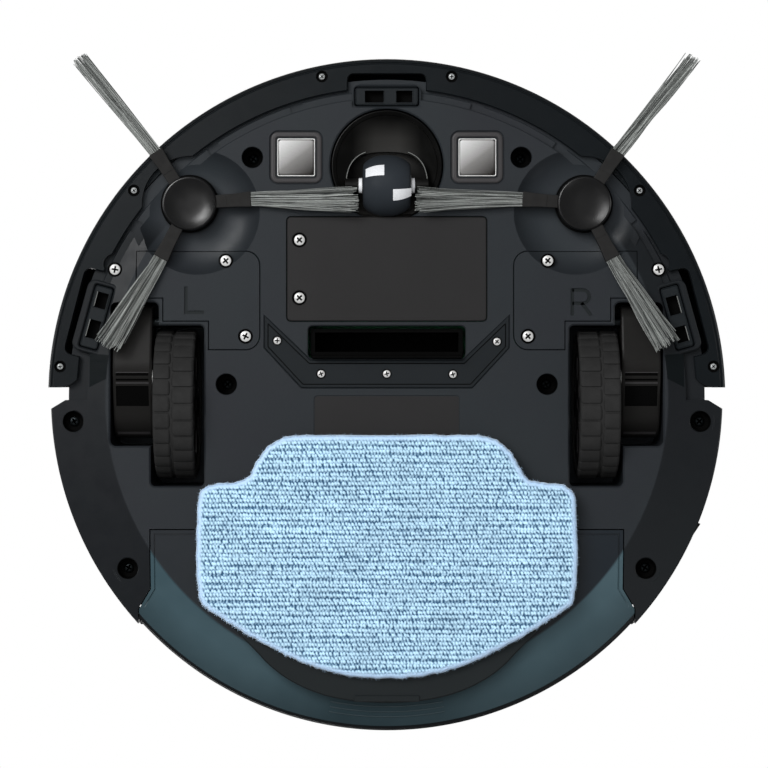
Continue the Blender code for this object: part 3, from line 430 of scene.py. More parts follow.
def plated():
    """Polished contact plate with a painted reflection, bright at its front outer corner and dark at the other."""
    f = Finish("contact_plate")
    lines = f.noise(420, 3, 0.6, stretch=(1, 40, 1))
    x, y, _ = f.axes(f.node("ShaderNodeTexCoord").outputs["Generated"])
    # Painted reflection: a gradient from corner to corner, with some cloud.
    corner = f.maths("ADD", x, f.maths("MULTIPLY", y, 1.3))
    cloudy = f.maths("ADD", corner, f.maths("MULTIPLY", f.noise(90, 2), 0.12))
    dim_reflection = f.mix(f.spread(cloudy, 0, 1, 0.20, 1.30), (0.012, 0.010, 0.009), (0.190, 0.186, 0.182))
    tone = f.mix(f.spread(cloudy, 0, 1, 1.15, 2.35), dim_reflection, (0.600, 0.600, 0.600))
    f.shade(Base_Color=f.times(tone, f.spread(lines, 0.95, 1.04)), Metallic=0.20,
            Roughness=f.spread(lines, 0.26, 0.36))
    f.bump(lines, 0.15, 0.00001)
    return f.material


def smoked():
    """Translucent smoked plastic of the water tank: its flat and all above the belly darkened as painted shade,
    painted shading lighter toward the sides and darker toward the rim, and near black at its outer edge.
    """
    f = Finish("tank_smoke")
    tint = f.mix(f.spread(f.noise(14, 4, 0.6), 0, 1), (0.052, 0.088, 0.104), (0.032, 0.058, 0.070))
    # Painted shade: the tank's flat, and all above the belly, darkened.
    tint_and_shade = f.times(tint, f.mix(f.beyond(*BELLY_EDGE, 0.0), (1, 1, 1), (0.05, 0.07, 0.10)))
    # Painted shading: lighter toward the sides, darker beyond TANK_RIM.
    x, _, _ = f.axes()
    sides = f.spread(f.maths("ABSOLUTE", x), 0.72, 1.10, *TANK_SIDES)
    rims = f.beyond(*TANK_RIM, 0.66)
    tint_and_shade = f.times(tint_and_shade, f.maths("MULTIPLY", sides, rims))
    edged = f.mix(f.beyond(*TANK_EDGE, 0.0), (0.005, 0.006, 0.007), tint_and_shade)
    f.shade(Base_Color=edged, Roughness=f.spread(f.noise(200, 4), 0.30, 0.42),
            Specular_IOR_Level=0.20, Transmission_Weight=0.15, IOR=1.49)
    f.bump(f.noise(900, 2), 0.10, 0.00004)
    return f.material


def domed():
    """The caster's black dome, with a painted highlight down its middle that fades toward the front."""
    f = Finish("caster_dome")
    x, y, _ = f.axes()
    # Painted highlight: lighter near x = 0, fading toward the front.
    middle = f.spread(f.maths("ABSOLUTE", x), 1, 0, *DOME_MIDDLE)
    lit = f.maths("MULTIPLY", middle, f.spread(y, 1, 0, *DOME_FRONT))
    highlight_and_mottle = f.maths("ADD", lit, f.maths("MULTIPLY", f.noise(160, 3), 0.08))
    f.shade(Base_Color=f.mix(highlight_and_mottle, (0.0018, 0.0018, 0.0017), (0.0215, 0.0210, 0.0200)),
            Roughness=f.spread(f.noise(400, 3), 0.42, 0.52), Specular_IOR_Level=0.22)
    f.bump(f.noise(1800, 3), 0.3, 0.00003)
    return f.material


def terry():
    """Looped microfibre: pale tips with painted shade of deep blue between the loops, and a white-blue hem."""
    f = Finish("mop_cloth")
    tone = f.spread(f.noise(45, 4, 0.6), 0.84, 1.06)
    fibre = f.noise(3200, 3, 0.7)
    # Painted shade: dark where the pile is low, between the loops.
    tips = f.spread(f.attribute("pile"), 0, 1, 0.26, 0.80)
    pile = f.mix(tips, (0.026, 0.084, 0.165), (0.516, 0.765, 0.950))
    fuzzy = f.times(f.times(pile, tone), f.spread(fibre, 0.86, 1.10))
    edge = f.mix(f.spread(fibre, 0, 1), (0.33, 0.50, 0.71), (0.50, 0.66, 0.84))
    f.shade(Base_Color=f.mix(f.attribute("hem"), fuzzy, edge), Roughness=f.spread(fibre, 0.85, 1.0),
            Sheen_Weight=0.35, Sheen_Roughness=0.5, Specular_IOR_Level=0.15)
    f.bump(fibre, 0.6, 0.0002)
    return f.material


def bristled():
    """Nylon filaments, each with its own grey."""
    f = Finish("bristle")
    along = f.noise(900, 3, 0.6)
    grey = f.mix(f.attribute("strand"), (0.014, 0.016, 0.015), (0.400, 0.420, 0.405))
    f.shade(Base_Color=f.times(grey, f.spread(along, 0.85, 1.12)), Roughness=f.spread(along, 0.35, 0.55))
    f.bump(along, 0.3, 0.00003)
    return f.material


def printed_board():
    """Green laminate with copper tracks under the lacquer."""
    f = Finish("circuit_board")
    bricks = f.node("ShaderNodeTexBrick", Scale=160.0)
    bricks.inputs["Mortar Size"].default_value = 0.012
    f.link(f.place, bricks.inputs["Vector"])
    green = f.mix(f.spread(f.noise(60, 3), 0, 1), (0.010, 0.090, 0.040), (0.016, 0.120, 0.055))
    f.shade(Base_Color=f.mix(bricks.outputs["Fac"], green, (0.06, 0.20, 0.09)),
            Roughness=f.spread(f.noise(400, 3), 0.25, 0.45))
    f.bump(bricks.outputs["Fac"], 0.3, 0.00005)
    return f.material


# outer darkens the chassis outside the flat belly as painted shade, and its bowls get painted light and shade.
CHASSIS = plastic("chassis", (0.0152, 0.0186, 0.0212), (0.0150, 0.0168, 0.0200), 0.42, specular=0.25,
                  outer=0.50)
COVER = plastic("cover", (0.0160, 0.0156, 0.0160), (0.0140, 0.0136, 0.0138), 0.42, specular=0.24)
BUMPER = plastic("bumper", (0.0054, 0.0070, 0.0082), (0.0046, 0.0058, 0.0068), 0.36, specular=0.13)
BLACK = plastic("black_inner", (0.0062, 0.0058, 0.0053), None, 0.44, specular=0.30)
ARM_GLOSS = plastic("drive_arm", (0.0100, 0.0096, 0.0092), None, 0.38, grain_depth=0.00001,
                    specular=0.16)
HUB = plastic("brush_hub", (0.0046, 0.0046, 0.0048), None, 0.34, grain_depth=0.000006)
WHITE = plastic("white_plastic", (0.62, 0.63, 0.65), None, 0.40, mottle=0.05)
FILTER = plastic("filter_paper", (0.72, 0.70, 0.64), None, 0.85, grain=900, grain_depth=0.0001)
GEAR = plastic("gear_plastic", (0.70, 0.69, 0.63), None, 0.42, mottle=0.08)
# Near black: dark parts, and painted shade in screw recesses, tower holes, the arms' bands and round the brush hubs.
PIT = plastic("pit", (0.0013, 0.0013, 0.0013), None, 0.70, specular=0.06)
INLET_GREY = plastic("inlet_frame", (0.0090, 0.0112, 0.0130), specular=0.20)
HOLDER = plastic("mop_holder", (0.0110, 0.0135, 0.0145), None, 0.48, specular=0.20)
# Pale strips that stand for light: painted highlights on the caster pocket's edge and the side sensors' windows.
PAINTED_EDGE_LIGHT = plastic("caster_lip_highlight", (0.130, 0.135, 0.130), None, 0.35)
# Also the pale strips of painted highlight on the drive arms' bands.
FRAME_GREY = plastic("contact_frame", (0.0370, 0.0355, 0.0370), None, 0.40, specular=0.35)
GLOSS = gloss("gloss_top", (0.008, 0.009, 0.010))
FACET = gloss("side_facet", (0.0046, 0.0062, 0.0070), 0.34, 0.0, 0.10)
WHEEL_BLACK = gloss("caster_black", (0.0200, 0.0240, 0.0290), 0.52, 0.0, 0.15)
BATTERY = gloss("battery_wrap", (0.030, 0.120, 0.330), 0.3, 0.2)
TYRE = rubber("tyre", (0.0148, 0.0148, 0.0148), 0.75, 0.15)
RUBBER = rubber("rubber", (0.0120, 0.0118, 0.0116), 0.6, 0.12)
STEEL = metal("steel", (0.78, 0.78, 0.77), 0.34)
DULL_STEEL = metal("dull_steel", (0.46, 0.48, 0.48), 0.36)
DARK_STEEL = metal("dark_steel", (0.055, 0.065, 0.070), 0.30, metallic=1.0)
DOME = domed()
BRISTLE = bristled()
PLATED = plated()
TANK = smoked()
CLOTH = terry()
BOARD = printed_board()


# ---- outlines: lists of 2D points, anticlockwise ----
def arc(cx, cy, radius, start, end, steps):
    turn = [math.radians(start + (end - start) * i / steps) for i in range(steps + 1)]
    return [(cx + radius * math.cos(a), cy + radius * math.sin(a)) for a in turn]


def rounded(corners, radii, steps=6):
    """The polygon with each corner replaced by an arc."""
    count = len(corners)
    radii = radii if hasattr(radii, "__len__") else [radii] * count
    points = []
    for i, radius in enumerate(radii):
        at = Vector(corners[i])
        if radius <= 0:
            points.append(tuple(at))
            continue
        before = (Vector(corners[i - 1]) - at).normalized()
        after = (Vector(corners[(i + 1) % count]) - at).normalized()
        half = before.angle(after) / 2
        centre = at + (before + after).normalized() * (radius / math.sin(half))
        first = at + before * (radius / math.tan(half)) - centre
        last = at + after * (radius / math.tan(half)) - centre
        swing = math.atan2(first.cross(last), first.dot(last))
        for k in range(steps + 1):
            points.append(tuple(centre + Matrix.Rotation(swing * k / steps, 2) @ first))
    return points


def rectangle(x0, y0, x1, y1, radius=0.0, steps=6):
    corners = [(x0, y0), (x1, y0), (x1, y1), (x0, y1)]
    return rounded(corners, radius, steps) if radius else corners


def square(x, y, half, radius):
    return rectangle(x - half, y - half, x + half, y + half, radius)


def both(places):
    """The places on the left side, then their mirror images on the right."""
    return [(side * x, y) for _, side in SIDES for x, y in places]


def circle(cx, cy, radius, steps=48):
    return arc(cx, cy, radius, 0, 360, steps)[:-1]


def oval(half, cy, power, steps=96):
    """A squarish oval round (0, cy)."""
    points = []
    for i in range(steps):
        c, s = math.cos(math.tau * i / steps), math.sin(math.tau * i / steps)
        points.append((half * math.copysign(abs(c) ** (2 / power), c),
                       cy + half * math.copysign(abs(s) ** (2 / power), s)))
    return points


def flipped(points, side):
    return points if side > 0 else [(-x, y) for x, y in reversed(points)]


def mirrored(half):
    """A whole outline from its +X half, which runs from the rear to the front."""
    return half + [(-x, y) for x, y in reversed(half) if x > 0]


def softened(points, rounds=3):
    """Corner cutting: each pass turns every corner into two flatter ones."""
    for _ in range(rounds):
        nearer = []
        for a, b in zip(points, points[1:] + points[:1]):
            nearer.append((0.75 * a[0] + 0.25 * b[0], 0.75 * a[1] + 0.25 * b[1]))
            nearer.append((0.25 * a[0] + 0.75 * b[0], 0.25 * a[1] + 0.75 * b[1]))
        points = nearer
    return points


def hull(points):
    """Convex hull, anticlockwise."""
    ordered = sorted(set(points))

    def chain(run):
        kept = []
        for p in run:
            while len(kept) > 1 and (
                (kept[-1][0] - kept[-2][0]) * (p[1] - kept[-2][1])
                - (kept[-1][1] - kept[-2][1]) * (p[0] - kept[-2][0])
            ) <= 0:
                kept.pop()
            kept.append(p)
        return kept[:-1]

    return chain(ordered) + chain(reversed(ordered))


def offset(outline, grow):
    """The outline moved outwards by grow, with mitred corners."""
    points = [p for i, p in enumerate(outline) if math.dist(p, outline[i - 1]) > 1e-7]
    if not grow:
        return points
    moved = []
    for i, point in enumerate(points):
        before = (Vector(point) - Vector(points[i - 1])).normalized()
        after = (Vector(points[(i + 1) % len(points)]) - Vector(point)).normalized()
        push = Vector((before.y + after.y, -before.x - after.x))
        moved.append(tuple(Vector(point) + push * (2 * grow / max(push.length_squared, 0.2))))
    return moved


def ribbon(points, width):
    """The outline of a line of that width along open points."""
    def side(sign, run):
        edge = []
        for i, point in enumerate(run):
            here = Vector(point)
            before = (here - Vector(run[i - 1])).normalized() if i else None
            after = (Vector(run[i + 1]) - here).normalized() if i < len(run) - 1 else None
            first, second = before or after, after or before
            push = Vector((first.y + second.y, -first.x - second.x)) * sign
            edge.append(tuple(here + push * (width / push.length_squared)))
        return edge

    return side(1, points) + side(-1, points)[::-1]


# ---- solids ----
def made(name, verts, faces, weld=1e-7):
    mesh = bpy.data.meshes.new(name)
    mesh.from_pydata(verts, [], faces)
    work = bmesh.new()
    work.from_mesh(mesh)
    if weld:
        bmesh.ops.remove_doubles(work, verts=work.verts, dist=weld)
    bmesh.ops.recalc_face_normals(work, faces=work.faces)
    work.to_mesh(mesh)
    work.free()
    obj = bpy.data.objects.new(name, mesh)
    bpy.context.scene.collection.objects.link(obj)
    return obj


def stack(name, outline, levels, axis=None):
    """A solid through copies of the outline, each level (grow, height), with flat ends."""
    verts, faces, rings = [], [], []
    for grow, height in levels:
        ring = offset(outline, grow)
        rings.append(range(len(verts), len(verts) + len(ring)))
        verts += [(x, y, height) for x, y in ring]
    for low, high in zip(rings, rings[1:]):
        for i in range(len(low)):
            k = (i + 1) % len(low)
            faces.append((low[i], low[k], high[k], high[i]))
    faces.append(tuple(reversed(rings[0])))
    faces.append(tuple(rings[-1]))
    obj = made(name, verts, faces)
    if axis:
        obj.data.transform(axis)
    return obj


def prism(name, outline, low, high, axis=None):
    return stack(name, outline, [(0, low), (0, high)], axis)


def turned(name, profile, centre=(0, 0), steps=96, axis=None, at=(0, 0, 0)):
    """A profile of (radius, height) points turned round Z, or round X or Y with axis."""
    verts, faces, rings = [], [], []
    turn = [(math.cos(math.tau * i / steps), math.sin(math.tau * i / steps)) for i in range(steps)]
    for radius, height in profile:
        if radius < 1e-7:
            rings.append([len(verts)] * steps)
            verts.append((0, 0, height))
        else:
            rings.append(list(range(len(verts), len(verts) + steps)))
            verts += [(radius * c, radius * s, height) for c, s in turn]
    pairs = list(zip(rings, rings[1:]))
    if profile[0][0] > 0 or profile[-1][0] > 0:
        pairs.append((rings[-1], rings[0]))
    for a, b in pairs:
        for i in range(steps):
            k = (i + 1) % steps
            face = list(dict.fromkeys((a[i], a[k], b[k], b[i])))
            if len(face) > 2:
                faces.append(face)
    obj = made(name, verts, faces)
    if axis:
        obj.data.transform(axis)
    obj.data.transform(Matrix.Translation((centre[0] + at[0], centre[1] + at[1], at[2])))
    return obj


def rod(name, radius, low, high, axis=None, at=(0, 0, 0), steps=32):
    return turned(name, [(0, high), (radius, high), (radius, low), (0, low)], steps=steps, axis=axis,
                  at=at)

def upright(x, y, radius, low, high, steps=32):
    """A round bar along Z."""
    return rod("upright", radius, low, high, at=(x, y, 0), steps=steps)


def crossbar(y, z, radius, low, high, steps=32):
    """A round bar along X."""
    return rod("crossbar", radius, low, high, axis=ALONG_X, at=(0, y, z), steps=steps)


def block(name, low, high):
    return prism(name, rectangle(low[0], low[1], high[0], high[1]), low[2], high[2])


def boolean(obj, others, operation, solver="MANIFOLD"):
    """obj with the others cut away, joined on or intersected. The others are used up."""
    for other in others:
        step = obj.modifiers.new(operation, "BOOLEAN")
        step.operation = operation
        step.solver = solver
        step.object = other
    bpy.context.view_layer.update()
    graph = bpy.context.evaluated_depsgraph_get()
    mesh = bpy.data.meshes.new_from_object(obj.evaluated_get(graph))
    obj.modifiers.clear()
    obj.data = mesh
    mesh.name = obj.name
    for other in others:
        bpy.data.objects.remove(other)
    return obj


def cut(obj, *cutters):
    return boolean(obj, cutters, "DIFFERENCE")


def fuse(obj, *others):
    return boolean(obj, others, "UNION")


def keep(obj, *regions):
    return boolean(obj, regions, "INTERSECT")


def swung(obj, degrees):
    """Turned about the body's middle."""
    obj.data.transform(Matrix.Rotation(math.radians(degrees), 4, "Z"))
    return obj


def moved(obj, *shift):
    obj.data.transform(Matrix.Translation(shift))
    return obj


def other_side(obj, side):
    """Mirrored to the right where side is -1."""
    if side < 0:
        obj.data.transform(MIRROR)
        obj.data.flip_normals()
    return obj


def joined(name, parts):
    """One mesh object from several, which are used up."""
    work = bmesh.new()
    for part in parts:
        work.from_mesh(part.data)
        bpy.data.objects.remove(part)
    mesh = bpy.data.meshes.new(name)
    work.to_mesh(mesh)
    work.free()
    obj = bpy.data.objects.new(name, mesh)
    bpy.context.scene.collection.objects.link(obj)
    return obj


def piece(obj, name, material, body, slot, *nodes, sharp=22):
    """Finishes a visual piece: its material, shading, body, slot and the CAD nodes it stands for."""
    obj.name = name
    obj.data.materials.clear()
    obj.data.materials.append(material)
    obj.data.shade_smooth()
    obj.data.set_sharp_from_angle(angle=math.radians(sharp))
    weigh = obj.modifiers.new("weigh", "WEIGHTED_NORMAL")
    weigh.keep_sharp = True
    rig.ride(obj, body)
    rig.slot(obj, slot)
    if nodes:
        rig.replaces(obj, *nodes)
    return obj


# ---- outlines and cutters that more than one piece follows ----
def front_region():
    corners = [(-PAST, -0.0158), (-0.140, NOTCH_Y), (0.140, NOTCH_Y), (PAST, -0.0158),
               (PAST, PAST), (-PAST, PAST)]
    return prism("front_region", corners, -0.01, 0.1)


def rear_region():
    corners = [(-PAST, -PAST), (PAST, -PAST), (PAST, -0.022), (0.140, -0.005), (-0.140, -0.005),
               (-PAST, -0.022)]
    return prism("rear_region", corners, -0.01, 0.1)


def wedge(start, end, steps=24):
    """The sector between two angles, through the whole body."""
    return prism("wedge", [(0, 0)] + arc(0, 0, 0.17, start, end, steps), 0.0, 0.1)


def hoop(name, x0, z0, x1, z1):
    """A ring round the body's middle with a rectangular section."""
    return turned(name, rectangle(x0, z0, x1, z1), steps=ROUND)


def tank_outline(grow=0.0):
    side, flare = 0.1025 + grow, 0.1079 + grow
    front = TANK_FRONT_Y + grow
    half = [(side, front), (side, -0.0831), (flare, -0.092), (flare, -0.17)]
    return [(-x, y) for x, y in half] + [(x, y) for x, y in reversed(half)]


def side_cover_outline(side):
    corners = [(0.0552, 0.0210), (0.0772, 0.0210), (0.0772, 0.0334), (0.0970, 0.0334),
               (0.0970, 0.0434), (0.1085, 0.0434), (0.1085, 0.0635), (0.0552, 0.0635)]
    return flipped(rounded(corners, [0.006, 0, 0, 0, 0, 0, 0, 0.006]), side)


def inlet_frame_outline(grow=0.0):
    wide, low = 0.053 + grow, 0.0044 - grow
    return [(-0.037 - grow / 2, low), (0.037 + grow / 2, low), (wide, 0.0216), (wide, 0.0357 + grow),
            (0.033, 0.0164 + grow), (-0.033, 0.0164 + grow), (-wide, 0.0357 + grow), (-wide, 0.0216)]


def sensor_outline(grow=0.0, radius=0.0012):
    return rectangle(-0.0137 - grow, -0.0040 - grow, 0.0137 + grow, 0.0038 + grow, radius)


BATTERY_OUTLINE = rectangle(-0.0433, 0.0333, 0.0433, 0.0785, 0.0018)


def at_sensor(obj, degrees):
    """Moves what is made round the origin to a cliff sensor's place."""
    return swung(moved(obj, 0, SENSOR_R, 0), degrees)


def surface_at(x, y):
    """Height of the belly's underside."""
    return BASE_Z + max(0.0, math.hypot(x, y) - FLAT_R) * SLOPE


def mouth_cutter(name, outline, chamfer, top, surface=BASE_Z):
    """A cutter for an opening in the belly, with a chamfer all round its lip."""
    under = 0.0005
    return stack(name, outline, [(chamfer + under, surface - under), (0, surface + chamfer), (0, top)])


def lid_hole(outline):
    """A cutter for the opening that a cover lies in."""
    return stack("lid_hole", outline, [(GAP + 0.0006, BASE_Z - 0.0004), (GAP, BASE_Z + 0.0002),
                                       (GAP, 0.0250)])


def counterbore(x, y, depth=0.0012, low=0.005):
    return upright(x, y, 0.0033, low, surface_at(x, y) + depth)


def bowl_cutter(side, depth=0.0055, power=5.0, steps=26):
    """The hollow that a side brush turns in: steep at its lip, flat in the middle."""
    points = [(0, 0.005), (BOWL_R + 0.0010, 0.005), (BOWL_R + 0.0010, BASE_Z - 0.0006),
              (BOWL_R, BOWL_LIP_Z)]
    for i in range(1, steps):
        share = 1 - i / steps
        points.append((BOWL_R * share, BOWL_LIP_Z + depth * (1 - share ** power)))
    return turned("bowl", points + [(0, BOWL_LIP_Z + depth)], centre=(side * BOWL[0], BOWL[1]),
                  steps=128)


def bowl_back(side):
    return upright(side * BOWL[0], BOWL[1], 0.0295, 0.0152, 0.0226, 64)


# ---- belly ----
def letter(side, low, high):
    """L or R as solid strokes."""
    if side > 0:
        strokes = [[(0.0871, 0.0483), (0.0871, 0.0371), (0.0793, 0.0371)]]
    else:
        x, radius = -0.0805, 0.0029
        turns = [math.pi * i / 10 for i in range(1, 10)]
        bowl = [(x - 0.0045 - radius * math.sin(t), 0.0439 + radius * math.cos(t)) for t in turns]
        strokes = [[(x, 0.0357), (x, 0.0475)],
                   [(x, 0.0468), (x - 0.0045, 0.0468)] + bowl + [(x - 0.0045, 0.0410), (x, 0.0410)],
                   [(x - 0.0040, 0.0412), (x - 0.0082, 0.0357)]]
    return [prism("letter", ribbon(stroke, STROKE), low, high) for stroke in strokes]


def well_solids(side):
    """Walls round the wheel and gearbox openings."""
    for (x0, y0, x1, y1), top, _ in WELLS:
        outline = rectangle(x0 - WELL_WALL, y0 - WELL_WALL, x1 + WELL_WALL, y1 + WELL_WALL, 0.004)
        yield prism("well", flipped(outline, side), 0.0153, top + WELL_WALL)


def well_cutters(side):
    for slot, top, radius in WELLS:
        yield mouth_cutter("slot", flipped(rectangle(*slot, radius), side), 0.0007, top)


def belly():
    inner = BASE_Z + SKIN
    base = turned("belly", [
        (0, inner), (LEDGE_R, inner), (LEDGE_R, LEDGE_Z), (0.136, LEDGE_Z), (0.136, BASE_TOP),
        (RIM_R, BASE_TOP), (RIM_R, RIM_Z + 0.0006), (RIM_R - 0.0006, RIM_Z - 0.0001),
        (FLAT_R, BASE_Z), (0, BASE_Z)], steps=ROUND)
    joins = [upright(*CASTER, 0.0266, 0.0151, 0.042, 96)]
    for _, side in SIDES:
        joins += [bowl_back(side), *well_solids(side)]
        joins += [upright(side * x, y, TOWER_R, surface_at(x, y) + 0.0016, TOWER_TOP)
                  for x, y in SCREW_TOWERS]
    fuse(base, *joins)
    channel = turned("channel", [(0.130, 0.005), (PAST, 0.005), (PAST, 0.040), (0.1385, 0.040),
                                 (0.1385, 0.0196), (0.130, 0.0196)], steps=ROUND)
    hollow = hoop("rear_hollow", 0.131, 0.0224, 0.1441, 0.035)
    cut(base, keep(channel, front_region()), keep(hollow, rear_region()),
        prism("tank_bay", tank_outline(0.0005), 0.0, 0.06))
    fuse(base, *[upright(x, y, TOWER_R, 0.0205, TOWER_TOP) for x, y in both(SCREW_TOWERS[2:])],
         *sensor_bosses(), *front_strip())
    return cut(base, *belly_cutters())


def sensor_bosses():
    """Raised plates round the cliff sensors, which fill the bumper's notches."""
    for name, degrees in SENSOR_TURNS:
        half, near, far = (0.0150, 0.1262, 0.1362) if name == "front" else (0.0158, 0.1240, 0.1382)
        outline = rectangle(-half, near, half, far, 0.0035)
        boss = stack("boss", outline, [(-0.0005, 0.0154), (0, 0.0159), (0, 0.0222)])
        yield swung(boss, degrees)


def front_strip():
    """The flat belly carried on to its front edge, and the lower step behind the flange."""
    flat = turned("flat_front", [(0.1180, BASE_Z), (0.1297, BASE_Z), (0.1301, BASE_Z + 0.0004),
                                 (0.1301, 0.0190), (0.1180, 0.0190)], steps=ROUND)
    keep(flat, wedge(53, 127))
    yield cut(flat, prism("notch", rectangle(-0.0152, 0.1258, 0.0152, 0.1400, 0.0010), 0.010, 0.0156))
    strip = turned("strip", [(0.1290, 0.0181), (0.1331, 0.0181), (0.1335, 0.0185), (0.1335, 0.0205),
                             (0.1290, 0.0205)], steps=ROUND)
    starts = (71.5, 106.0, 54.0, 123.5, 33.0, 144.5)
    yield cut(keep(strip, wedge(16, 164)), *[wedge(start, start + 2.5, 4) for start in starts])


def belly_cutters():
    cutters = []
    for _, side in SIDES:
        cutters += [bowl_cutter(side), upright(side * BRUSH[0], BRUSH[1], 0.0062, 0.01, 0.03)]
        cutters += well_cutters(side)
        for half, radius, chamfer, top in ((0.0114, 0.0035, 0.0004, 0.0150), (0.0083, 0.0008, 0, 0.03)):
            outline = square(side * CONTACT[0], CONTACT[1], half, radius)
            cutters.append(mouth_cutter("contact", outline, chamfer, top))
        for x, y in SCREW_TOWERS:
            z = surface_at(x, y)
            cutters.append(turned("screw_hole", [
                (0, 0.005), (0.0056, 0.005), (0.0050, z - 0.0002), (0.0046, z + 0.0002),
                (0.0046, 0.0255), (0, 0.0255)], centre=(side * x, y), steps=48))
        cutters += [counterbore(side * x, y) for x, y in SCREWS_IN_BELLY]
        cutters.append(crossbar(*ARM_PIVOT, PIN_BORE_R, *sorted((side * 0.096, side * 0.123)), 24))
        cutters.append(lid_hole(side_cover_outline(side)))
    for _, degrees in SENSOR_TURNS:
        hole = mouth_cutter("sensor_hole", sensor_outline(0.0004), 0.0004, 0.0222, 0.0156)
        cutters.append(at_sensor(hole, degrees))
    well = turned("caster_well", [
        (0, 0.005), (0.0256, 0.005), (0.0256, BASE_Z - 0.0004), (0.0246, BASE_Z + 0.0006),
        (0.0246, 0.040), (0, 0.040)], centre=CASTER, steps=128)
    pocket = stack("frame_pocket", inlet_frame_outline(GAP), [
        (0.0005, BASE_Z - 0.0003), (0, BASE_Z + 0.0002), (0, 0.0157)])
    label = rectangle(-0.0315, -0.030, 0.0315, 0.0009, 0.0015)
    return cutters + [
        well, upright(*CASTER, 0.0044, 0.03, 0.05),
        mouth_cutter("mouth", rectangle(-0.0342, 0.0170, 0.0342, 0.0312, 0.0022), 0.0005, 0.03),
        pocket, mouth_cutter("label_pocket", label, 0.0002, BASE_Z + 0.0004),
        lid_hole(BATTERY_OUTLINE)]


def side_facets():
    """The smooth dark facets between the wheel openings and the bumper's ends."""
    slices = []
    for _, side in SIDES:
        skin = turned("facet", [
            (FLAT_R, BASE_Z - 0.00005), (RIM_R, RIM_Z - 0.00005), (RIM_R, RIM_Z + 0.0006),
            (FLAT_R, BASE_Z + 0.0006)], steps=ROUND)
        outline = [(0.1206, 0.0088), (0.1292, 0.0046), (0.1290, 0.0192), (0.1203, 0.0186)]
        slices.append(keep(skin, prism("outline", flipped(outline, side), 0.0, 0.1)))
    piece(joined("facets", slices), "side_facets", FACET, "chassis", "chassis", sharp=20)


def label_plate():
    outline = rectangle(-0.0313, -0.0298, 0.0313, 0.0007, 0.0013)
    plate = prism("label_plate", outline, BASE_Z + 0.00022, BASE_Z + 0.00036)
    piece(plate, "label_plate", COVER, "chassis", "cover")


def covers():
    """The two side covers, each a slice of the belly's skin, and the battery cover."""
    inner = BASE_Z + SKIN
    for name, side in SIDES:
        skin = turned("skin", [
            (0, inner), (LEDGE_R, inner), (LEDGE_R, LEDGE_Z), (0.136, LEDGE_Z),
            (0.136, RIM_Z - 0.003), (FLAT_R, BASE_Z), (0, BASE_Z)], steps=ROUND)
        fuse(skin, bowl_back(side))
        keep(skin, stack("region", side_cover_outline(side), [
            (-0.0005, BASE_Z - 0.0003), (0, BASE_Z + 0.0002), (0, 0.0226)]))
        cut(skin, bowl_cutter(side), *well_cutters(side),
            *[counterbore(side * x, y) for x, y in SCREWS_IN_BELLY[:2]],
            *letter(side, 0.01, BASE_Z + 0.0010))
        piece(skin, f"side_cover_{name}_skin", CHASSIS, "chassis", "chassis", f"side_cover_{name}",
              sharp=12)
    marks = [part for _, side in SIDES for part in letter(side, BASE_Z + 0.0007, BASE_Z + 0.0012)]
    piece(joined("side_marks", marks), "side_marks", HOLDER, "chassis", "chassis")
    lid = stack("battery_lid", BATTERY_OUTLINE, [(-0.0004, BASE_Z), (0, BASE_Z + 0.0004), (0, inner)])
    cut(lid, *[counterbore(x, y, 0.0013, 0.01) for x, y in BATTERY_SCREWS])
    piece(lid, "battery_lid", COVER, "chassis", "cover", "battery_cover")


# ---- screws ----
def cross(x, y, radius, low, high, share=1.0):
    """The two arms of a screw's recess."""
    long, thin = radius * 0.66 * share, radius * 0.17 * share
    turn = (x * 731 + y * 417) % 1.5
    for angle in (0, math.pi / 2):
        arm = prism("recess", rectangle(-long, -thin, long, thin), low, high)
        arm.data.transform(Matrix.Translation((x, y, 0)) @ Matrix.Rotation(turn + angle, 4, "Z"))
        yield arm


def phillips_screw(x, y, z, radius):
    """A domed cross-head screw whose rim is at height z, seen from below."""
    head = turned("head", [(0, z - 0.00030), (radius * 0.55, z - 0.00026), (radius * 0.85, z - 0.00012),
                           (radius, z + 0.0001), (radius, z + 0.0010), (0, z + 0.0010)],
                  centre=(x, y), steps=40)
    return cut(head, *cross(x, y, radius, z - 0.002, z + 0.0006))


def screw_shadow(x, y, z, radius, well):
    """Painted shade: the near-black floor of a screw's recess, and the floor and wall of its counterbore."""
    yield fuse(*cross(x, y, radius, z + 0.0002, z + 0.0005, 0.97))
    inside, wall = radius * 0.6, well - 0.0002
    yield turned("ring", [(inside, z + 0.0007), (wall, z + 0.0007), (wall, z - 0.0002),
                          (well, z - 0.0002), (well, z + 0.0010), (inside, z + 0.0010)],
                 centre=(x, y), steps=32)


def screw_set(name, heads, body, *nodes, finish=STEEL):
    steel = [phillips_screw(x, y, z, radius) for x, y, z, radius, _ in heads]
    piece(joined(name, steel), name, finish, body, "steel", *nodes, sharp=30)
    # Near-black recess floors and counterbore rings: painted shade.
    dark = [part for head in heads for part in screw_shadow(*head)]
    piece(joined(name, dark), f"{name}_recess", PIT, body, "black_inner", sharp=30)


